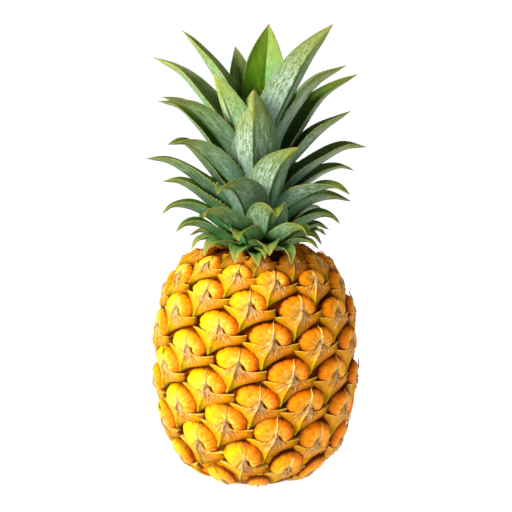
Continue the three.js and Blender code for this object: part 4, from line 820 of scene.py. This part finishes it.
    # partly bloom, partly painted light: on the warmer leaves one half of the inner face is paler, teal below and
    # yellow-green above
    half = N.m("MULTIPLY", N.m("MULTIPLY", N.step(warm, 0.5, 0.9), N.step(u, 0.02, -0.04)), N.step(blot, 0.34, 0.56, 0.55, 1.0))
    inner = N.mix(half, inner, N.mix(N.step(t, 0.45, 0.80), N.mix(N.step(fib2, 0.35, 0.65), lin(44, 124, 86), lin(112, 172, 134)), N.mix(N.step(fib2, 0.35, 0.65), lin(92, 144, 26), lin(162, 194, 88))))
    inner = N.mix(N.m("MULTIPLY", N.step(dots, 0.57, 0.66), 0.35), inner, lin(14, 36, 6))
    inner = N.mix(N.m("MULTIPLY", low, N.step(mott, 0.42, 0.60, 0.10, 0.80)), inner, N.mix(N.step(fib, 0.35, 0.65), lin(84, 142, 56), lin(158, 194, 132)))
    inner = N.mix(N.m("MULTIPLY", low, N.step(t, 0.60, 0.15, 0, 0.8)), inner, N.mix(N.step(fib, 0.35, 0.65), lin(34, 98, 6), lin(84, 150, 24)))
    inner = N.mix(N.m("MULTIPLY", low, N.step(t, 0.66, 0.97, 0, 0.85)), inner, N.mix(N.step(scr, 0.4, 0.6), lin(176, 170, 74), lin(190, 150, 84)))
    outer = N.mix(N.m("MULTIPLY", low, N.step(t, 0.60, 0.95, 0, 0.7)), outer, N.mix(N.step(scr, 0.4, 0.6), lin(140, 146, 40), lin(176, 140, 74)))
    outer = N.mix(N.m("MULTIPLY", low, N.step(t, 0.60, 0.20, 0, 0.80)), outer, N.mix(N.step(fib, 0.35, 0.65), lin(40, 112, 10), lin(92, 156, 34)))
    # fresher green at the foot of the crown
    foot = N.m("MULTIPLY", N.step(pz, 0.170, 0.140), N.step(t, 0.75, 0.35, 0.15, 0.80))
    fresh = N.mix(N.step(fib, 0.34, 0.66), lin(38, 108, 14), lin(98, 166, 50))
    outer = N.mix(N.m("MULTIPLY", foot, 0.62), outer, fresh)
    inner = N.mix(N.m("MULTIPLY", foot, 0.80), inner, fresh)
    col = N.mix(side, outer, inner)
    # midrib
    mid = N.m("MULTIPLY", N.step(N.m("ABSOLUTE", wx), 0.75, 0.20), N.step(t, 0.99, 0.90, 0, 0.95))
    col = N.mix(mid, col, N.mix(side, N.mix(N.step(t, 0.6, 0.9), lin(34, 66, 16), lin(104, 122, 4)), lin(110, 140, 40)))
    # dry brownish and purplish wear near the tip
    wear = N.m("MULTIPLY", N.step(t, 0.55, 0.95, 0, 0.55), N.step(scr, 0.50, 0.62))
    col = N.mix(wear, col, lin(150, 122, 84))
    # margins: thin, broken yellow line
    edge = N.step(N.m("SUBTRACT", N.m("MULTIPLY", au, 1.0), N.m("MULTIPLY", N.m("SUBTRACT", fib, 0.5), 0.04)), 0.945, 0.985)
    edge = N.m("MULTIPLY", N.m("MULTIPLY", edge, 0.60), N.step(N.noise(N.vec(N.m("MULTIPLY", ly, 0.62), N.m("MULTIPLY", seed, 17.0), u), 1.0, 2, 0.6), 0.44, 0.54, 0.25, 0.95))
    col = N.mix(edge, col, N.mix(N.step(scr, 0.4, 0.6), lin(150, 156, 40), lin(160, 120, 36)))
    tip = N.step(N.m("ADD", t, N.m("MULTIPLY", N.m("SUBTRACT", scr, 0.5), 0.08)), 0.952, 0.995)
    col = N.mix(N.m("MULTIPLY", tip, 0.95), col, N.mix(N.step(t, 0.965, 0.995), lin(196, 150, 62), lin(130, 72, 28)))
    warmtip = N.step(t, 0.62, 0.95, 0, 0.30)
    col = N.mix(warmtip, col, lin(122, 128, 22))
    # per-leaf lightness from the tone table, which includes painted light on the leaves facing the lamp
    lit = N.m("MULTIPLY", tb, bright)
    col = N.mix(1.0, col, N.vec(lit, lit, lit), "MULTIPLY")
    N.set(Base_Color=col, Roughness=N.step(side, 0.0, 1.0, 0.50, 0.36), Specular_IOR_Level=0.28)
    h = N.m("ADD", N.m("MULTIPLY", fib, 0.9), N.m("MULTIPLY", fib2, 0.6))
    h = N.m("ADD", h, N.m("MULTIPLY", dots, -0.5))
    N.set(Normal=N.bump(h, 0.5, 0.0007))
    return N.mat


def mat_tooth():
    N = Nodes("leaf_spines")
    P = N.obj()
    n = N.noise(P, 300, 2)
    N.set(Base_Color=N.mix(N.step(n, 0.35, 0.65), lin(188, 184, 84), lin(168, 122, 48)), Roughness=0.55)
    return N.mat


def mat_stem():
    N = Nodes("crown_stem_skin")
    P = N.obj()
    x, y, z = N.xyz(P)
    n1 = N.noise(N.vec(x, y, N.m("MULTIPLY", z, 0.15)), 420, 3); n2 = N.noise(P, 90, 3)
    col = N.mix(N.step(n1, 0.35, 0.65), lin(120, 132, 62), lin(176, 176, 110))
    col = N.mix(N.step(n2, 0.45, 0.65, 0, 0.5), col, lin(110, 80, 44))
    N.set(Base_Color=col, Roughness=0.65, Normal=N.bump(n1, 0.5, 0.0006))
    return N.mat


def mat_cut():
    N = Nodes("cut_peduncle")
    P = N.obj()
    x, y, z = N.xyz(P)
    rad = N.m("SQRT", N.m("ADD", N.m("MULTIPLY", x, x), N.m("MULTIPLY", y, y)))
    ang = N.m("ARCTAN2", y, x)
    fib = N.voronoi(N.vec(x, y, N.m("MULTIPLY", z, 0.05)), 900)
    ring = N.noise(N.vec(N.m("MULTIPLY", rad, 260.0), N.m("MULTIPLY", ang, 0.7), 0.0), 1.5, 3)
    n2 = N.noise(P, 220, 4)
    col = N.mix(N.step(fib, 0.15, 0.55), lin(120, 84, 46), lin(204, 172, 116))
    col = N.mix(N.step(ring, 0.40, 0.62, 0, 0.5), col, lin(160, 116, 66))
    col = N.mix(N.step(rad, 0.0074, 0.0090), col, lin(104, 66, 36))
    col = N.mix(N.step(n2, 0.55, 0.70, 0, 0.5), col, lin(84, 56, 34))
    N.set(Base_Color=col, Roughness=0.88, Normal=N.bump(N.m("ADD", fib, N.m("MULTIPLY", n2, 0.8)), 0.7, 0.0007))
    return N.mat


# ---------------------------------------------------------------- leaves
W_T = [0, .05, .2, .35, .5, .65, .78, .88, .95, 1.0]
W_W = [0.62, .76, .95, 1.0, .97, .86, .65, .41, .185, .0]
wprof = pchip(np.array(W_T), np.array(W_W))
A_T = [0, .05, .2, .35, .5, .62, .72, .80, .87, .93, 1.0]
A_W = [0.62, .76, .96, 1.0, .95, .82, .62, .41, .24, .125, .0]
aprof = pchip(np.array(A_T), np.array(A_W))


def catmull(P, n):
    """centripetal Catmull-Rom through P, n+1 points evenly spaced by length"""
    P = np.asarray(P, float)
    Q = np.vstack([2 * P[0] - P[1], P, 2 * P[-1] - P[-2]])
    pts = []
    for i in range(1, len(Q) - 2):
        p0, p1, p2, p3 = Q[i - 1:i + 3]
        t0 = 0; t1 = t0 + np.linalg.norm(p1 - p0) ** 0.5; t2 = t1 + np.linalg.norm(p2 - p1) ** 0.5; t3 = t2 + np.linalg.norm(p3 - p2) ** 0.5
        t = np.linspace(t1, t2, 60, endpoint=(i == len(Q) - 3))[:, None]
        a1 = (t1 - t) / (t1 - t0) * p0 + (t - t0) / (t1 - t0) * p1
        a2 = (t2 - t) / (t2 - t1) * p1 + (t - t1) / (t2 - t1) * p2
        a3 = (t3 - t) / (t3 - t2) * p2 + (t - t2) / (t3 - t2) * p3
        b1 = (t2 - t) / (t2 - t0) * a1 + (t - t0) / (t2 - t0) * a2
        b2 = (t3 - t) / (t3 - t1) * a2 + (t - t1) / (t3 - t1) * a3
        pts.append((t2 - t) / (t2 - t1) * b1 + (t - t1) / (t2 - t1) * b2)
    X = np.vstack(pts)
    # light smoothing of the curvature
    for _ in range(14):
        X[1:-1] = 0.5 * X[1:-1] + 0.25 * (X[:-2] + X[2:])
    s = np.r_[0, np.cumsum(np.linalg.norm(np.diff(X, axis=0), axis=1))]
    q = np.linspace(0, s[-1], n + 1)
    C = np.stack([np.interp(q, s, X[:, k]) for k in range(3)], 1)
    T = np.gradient(C, axis=0); T /= np.linalg.norm(T, axis=1)[:, None]
    return C, T, s[-1]


# per-leaf warmth, lightness and bloom; the raised lightness and bloom of leaf_51, leaf_52 and leaf_54, on the lamp
# side, are painted light
TONES = {"leaf_56": (0.95, 1.0, 0.85), "leaf_53": (0.22, 1.02, 0.66), "leaf_43": (0.06, 0.90, 0.56), "leaf_51": (0.12, 1.75, 1.0),
         "leaf_54": (0.16, 1.75, 1.0), "leaf_52": (0.30, 1.50, 0.95), "leaf_55": (0.15, 0.8, 0.4), "leaf_44": (0.0, 1.05, 0.8), "leaf_42": (0.1, 1.05, 0.7)}


def build_leaf(leaf, idx, mats, tooth_mat):
    name, deg, width, half, twist, mid = leaf
    rng = np.random.default_rng(500 + idx)
    n = 56
    C, T, length = catmull(mid, n)
    t = np.linspace(0, 1, n + 1)
    p = math.radians(deg)
    et = np.array([math.cos(p), math.sin(p), 0.0])
    S = et - (T @ et)[:, None] * T; S /= np.linalg.norm(S, axis=1)[:, None]
    Nn = np.cross(T, S)
    a = math.radians(twist) * t ** 1.5 * 3 + rng.normal(0, 0.03) * np.sin(t * 5 + rng.uniform(0, 6))
    S2 = S * np.cos(a)[:, None] + Nn * np.sin(a)[:, None]
    N2 = Nn * np.cos(a)[:, None] - S * np.sin(a)[:, None]
    hw = (0.55 * aprof(t) + 0.45 * wprof(t) if mid[0][2] < 152.5 else wprof(t)) * width / 2
    hw = np.maximum(hw, 0.05)
    B = np.radians(half) * np.interp(t, [0, .25, .6, 1], [.9, 1., .95, .75])
    u = np.array([-1, -.97, -.92, -.84, -.72, -.58, -.43, -.28, -.14, -.05, 0, .05, .14, .28, .43, .58, .72, .84, .92, .97, 1])
    m = len(u) - 1
    U = u[None, :]
    lat = hw[:, None] * np.sin(B[:, None] * U) / np.sin(B)[:, None]
    hgt = hw[:, None] * (1 - np.cos(B[:, None] * U)) / np.sin(B)[:, None]
    # a fold along the midrib and slow waves in the margins
    fold = 0.62 * smooth(0.05, 0.4, t)[:, None]
    full = hgt[:, -1:] + 0 * U
    hgt = hgt * (1 - fold) + fold * full * np.abs(U)
    hgt = hgt - 0.06 * hw[:, None] * np.exp(-(U * hw[:, None] / 1.0) ** 2) * smooth(0.02, 0.3, t)[:, None]
    ph = rng.uniform(0, 6.28, 4)
    wave = 0.030 * width * (np.sin(t[:, None] * 9 + ph[0]) * (U > 0) + np.sin(t[:, None] * 8 + ph[1]) * (U < 0)) * np.abs(U) ** 3
    hgt += wave * smooth(0.1, 0.4, t)[:, None] * smooth(1.0, 0.8, t)[:, None]
    G = C[:, None, :] + lat[..., None] * S2[:, None, :] + hgt[..., None] * N2[:, None, :]
    du = np.gradient(G, axis=1); dt = np.gradient(G, axis=0)
    nn = np.cross(dt, du); nn /= (np.linalg.norm(nn, axis=2)[..., None] + 1e-12)
    sign = np.sign(np.einsum("ijk,ijk->ij", nn, np.repeat(N2[:, None, :], m + 1, 1)).sum())
    nn *= sign
    th = (1.15 * (1 - 0.55 * t[:, None]) * (1 - np.abs(U) ** 1.6) + 0.30) * 0.5
    th = th * smooth(1.02, 0.90, t)[:, None] + 0.10
    ribs = 0.045 * np.sin(U * hw[:, None] * 5.2 + ph[2]) * (1 - U ** 2)
    up = G + nn * (th + ribs)[..., None]
    lo = G - nn * (th - ribs * 0.6)[..., None]
    rows, cols = n + 1, m + 1
    verts = np.vstack([up.reshape(-1, 3), lo.reshape(-1, 3)])
    k = rows * cols
    iu = np.arange(k).reshape(rows, cols); il = iu + k
    F = []
    for i in range(n):
        for j in range(m):
            F.append((iu[i, j], iu[i, j + 1], iu[i + 1, j + 1], iu[i + 1, j]))
            F.append((il[i, j], il[i + 1, j], il[i + 1, j + 1], il[i, j + 1]))
        F.append((iu[i, 0], iu[i + 1, 0], il[i + 1, 0], il[i, 0]))
        F.append((iu[i, m], il[i, m], il[i + 1, m], iu[i + 1, m]))
    for j in range(m):
        F.append((iu[0, j], il[0, j], il[0, j + 1], iu[0, j + 1]))
        F.append((iu[n, j], iu[n, j + 1], il[n, j + 1], il[n, j]))
    if sign < 0:
        F = [tuple(reversed(f)) for f in F]
    TT = np.repeat(t[:, None], cols, 1).ravel(); UU = np.repeat(U, rows, 0).ravel()
    WX = (U * hw[:, None]).ravel(); LY = TT * length
    leaf_attr = np.vstack([np.c_[UU, TT, np.ones(k)], np.c_[UU, TT, np.zeros(k)]])
    seed = rng.uniform(0, 1)
    span = np.vstack([np.c_[WX, LY, np.full(k, seed)]] * 2)
    # marginal spines
    tv, tf = [], []
    pitch = 2.3 if length > 35 else 1.9
    cnt = int(length * 0.93 / pitch)
    for sgn, col in ((-1, 0), (1, m)):
        off = rng.uniform(0, 0.8)
        for q in range(cnt):
            tt = (off + q + 0.35 * rng.normal() * 0.5 + 1.0) * pitch / length
            if tt < 0.06 or tt > 0.965:
                continue
            f = tt * n; i = int(f); w = f - i
            pos = G[i, col] * (1 - w) + G[min(i + 1, n), col] * w
            tang = T[i]; out = (du[i, col] * sgn); out /= np.linalg.norm(out)
            nr = nn[i, col]
            sz = (1.05 if length > 45 else 0.80) * (0.45 + 0.55 * math.sin(min(1, tt * 1.4 + 0.25) * math.pi) ** 0.5) * rng.uniform(0.8, 1.2)
            b0 = pos - tang * 0.34 * sz - out * 0.25
            b1 = pos + tang * 0.46 * sz - out * 0.25
            tipq = pos + out * 0.95 * sz + tang * 0.80 * sz + nr * 0.15 * sz
            base = len(verts) + len(tv)
            tv += [b0 + nr * 0.18, b1 + nr * 0.14, b1 - nr * 0.14, b0 - nr * 0.18, tipq]
            fs = [(0, 1, 4), (1, 2, 4), (2, 3, 4), (3, 0, 4), (3, 2, 1, 0)]
            # outward winding
            a_ = tv[-5:]
            nrm = np.cross(a_[1] - a_[0], a_[4] - a_[0])
            flip = nrm @ (a_[0] - np.mean(a_, axis=0)) < 0
            for f_ in fs:
                g_ = tuple(base + z_ for z_ in f_)
                tf.append(tuple(reversed(g_)) if flip else g_)
    nt = len(tv)
    allv = np.vstack([verts, np.array(tv)]) if nt else verts
    tone = TONES.get(name)
    if tone is None:
        tone = (rng.uniform(0, 0.25), rng.uniform(0.9, 1.05), rng.uniform(0.35, 0.6))
    me_tone = np.tile(np.array(tone, float), (len(allv), 1))
    me_attr = {"tone": me_tone, "leaf": np.vstack([leaf_attr, np.zeros((nt, 3))]) if nt else leaf_attr,
               "span": np.vstack([span, np.zeros((nt, 3))]) if nt else span}
    mat = mats
    ob = make_object(name + "_blade", allv, F + tf, me_attr, mat)
    ob.data.materials.append(tooth_mat)
    idxs = np.zeros(len(ob.data.polygons), np.int32)
    idxs[len(F):] = 1
    if len(idxs) == len(F) + len(tf):
        ob.data.polygons.foreach_set("material_index", idxs)
        sm = np.ones(len(idxs), bool); sm[len(F):] = False
        ob.data.polygons.foreach_set("use_smooth", sm)
    return ob


# ---------------------------------------------------------------- build
eye, bract, core = mat_eye(), mat_bract(), mat_core()
halves = [build_fruitlets(0), build_fruitlets(1)]
CV, CF = build_core()
fruit_core = make_object("fruit_core", CV, CF, {}, core)
skin = [fruit_core]
for tag, (E_, B_) in zip(("lower", "upper"), halves):
    skin.append(make_object("fruit_eyes_" + tag, E_[0], E_[1], {"plan": E_[2], "form": E_[3]}, eye))
    skin.append(make_object("fruit_bracts_" + tag, B_[0], B_[1], {"plan": B_[2], "form": B_[3], "edge": B_[4]}, bract, sharp=50))
for o in skin:
    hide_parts("fruit_body"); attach(o, "root")


def lathe(name, pts, sides, mat, wob=0.0, seed=1):
    rng = np.random.default_rng(seed)
    th = np.linspace(0, 2 * np.pi, sides, endpoint=False)
    V = []
    for r, z in pts:
        rr = r * (1 + wob * (0.5 * np.sin(th * 5 + z * 0.9) + 0.5 * np.sin(th * 11 - z * 1.7)))
        V.append(np.c_[rr * np.sin(th), -rr * np.cos(th), np.full(sides, z)])
    V = np.vstack(V); n = len(pts)
    F = []
    for j in range(n - 1):
        for a in range(sides):
            b = (a + 1) % sides
            F.append((j * sides + a, j * sides + b, (j + 1) * sides + b, (j + 1) * sides + a))
    c0, c1 = len(V), len(V) + 1
    V = np.vstack([V, [[0, 0, pts[0][1]]], [[0, 0, pts[-1][1]]]])
    for a in range(sides):
        b = (a + 1) % sides
        F.append((c0, b, a)); F.append((c1, (n - 1) * sides + a, (n - 1) * sides + b))
    return make_object(name, V, F, {}, mat, sharp=40)


STEM = [(12.5, 133.4), (13.0, 135), (12.9, 137), (12.2, 141), (11.5, 144), (10.9, 147), (9.8, 153), (8.6, 160), (7.2, 167), (6.0, 174), (4.6, 181), (3.0, 187), (1.2, 190)]
stem = lathe("crown_stem_core", STEM, 48, mat_stem(), 0.04)
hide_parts("crown_stem"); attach(stem, "root")
STUB = [(2.0, 0.25), (4.5, 0.12), (7.0, 0.05), (8.4, 0.0), (9.0, 0.25), (9.25, 0.9), (9.3, 2.5), (9.3, 5.0)]
stub = lathe("cut_stem_end", STUB, 64, mat_cut(), 0.012)
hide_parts("peduncle_stub"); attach(stub, "root")

LM = {"leaf_base_green": mat_leaf("leaf_low", 0.14, 0.95, 1.0), "leaf_green": mat_leaf("leaf_mid", 0.0, 0.93, 0.12), "leaf_top_green": mat_leaf("leaf_top", 0.10, 0.94)}
tooth = mat_tooth()
for k, leaf in enumerate(LEAVES):
    sl = "leaf_base_green" if k < 14 else ("leaf_green" if k < 41 else "leaf_top_green")
    ob = build_leaf(leaf, k, LM[sl], tooth)
    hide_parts(leaf[0]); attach(ob, "root")

# ---------------------------------------------------------------- stage, light, camera
def stage_plane():
    me = bpy.data.meshes.new("floor")
    s = 9.0
    me.from_pydata([(-s, -s, 0), (s, -s, 0), (s, s, 0), (-s, s, 0)], [], [(0, 1, 2, 3)])
    ob = bpy.data.objects.new("floor", me)
    bpy.context.scene.collection.objects.link(ob)
    N = Nodes("floor_paper")
    n = N.noise(N.obj(), 4, 2)
    N.set(Base_Color=N.mix(n, (0.34, 0.34, 0.34, 1), (0.38, 0.38, 0.38, 1)), Roughness=0.95, Specular_IOR_Level=0.0, Emission_Color=(1, 1, 1, 1), Emission_Strength=0.95)
    me.materials.append(N.mat)
    return ob


floor = stage_plane()
floor.location.z = -0.0003

world = bpy.data.worlds.new("studio")
bpy.context.scene.world = world
world.use_nodes = True
bg = world.node_tree.nodes["Background"]
bg.inputs[0].default_value = (1, 1, 1, 1)
bg.inputs[1].default_value = 0.12


def area(name, loc, target, size, power, color=(1, 1, 1)):
    l = bpy.data.lights.new(name, "AREA")
    l.shape = "RECTANGLE"; l.size = size[0]; l.size_y = size[1]
    l.energy = power; l.color = color
    o = bpy.data.objects.new(name, l)
    o.location = loc
    o.rotation_euler = (Vector(target) - Vector(loc)).to_track_quat("-Z", "Y").to_euler()
    bpy.context.scene.collection.objects.link(o)
    return o


area("key", (-1.10, -0.85, 0.80), (0, 0, 0.13), (0.50, 0.50), 45, (1.0, 0.985, 0.95))
area("fill", (0.9, -1.2, 0.45), (0, 0, 0.13), (0.7, 0.7), 5.0, (1.0, 0.98, 0.96))

E = math.radians(10.0)
D = 1.5
ZT = 0.1265
cam = bpy.data.cameras.new("view")
cam.sensor_width = 36.0
cam.lens = 189.84
cam.clip_start = 0.05
cam.clip_end = 30
co = bpy.data.objects.new("view", cam)
co.location = (0.00028, -D * math.cos(E), ZT + D * math.sin(E))
co.rotation_euler = (math.pi / 2 - E, 0, 0)
bpy.context.scene.collection.objects.link(co)
bpy.context.scene.camera = co
sc = bpy.context.scene
sc.view_settings.view_transform = "Standard"
sc.view_settings.look = "None"
sc.view_settings.exposure = 0.0
sc.view_settings.gamma = 1.0
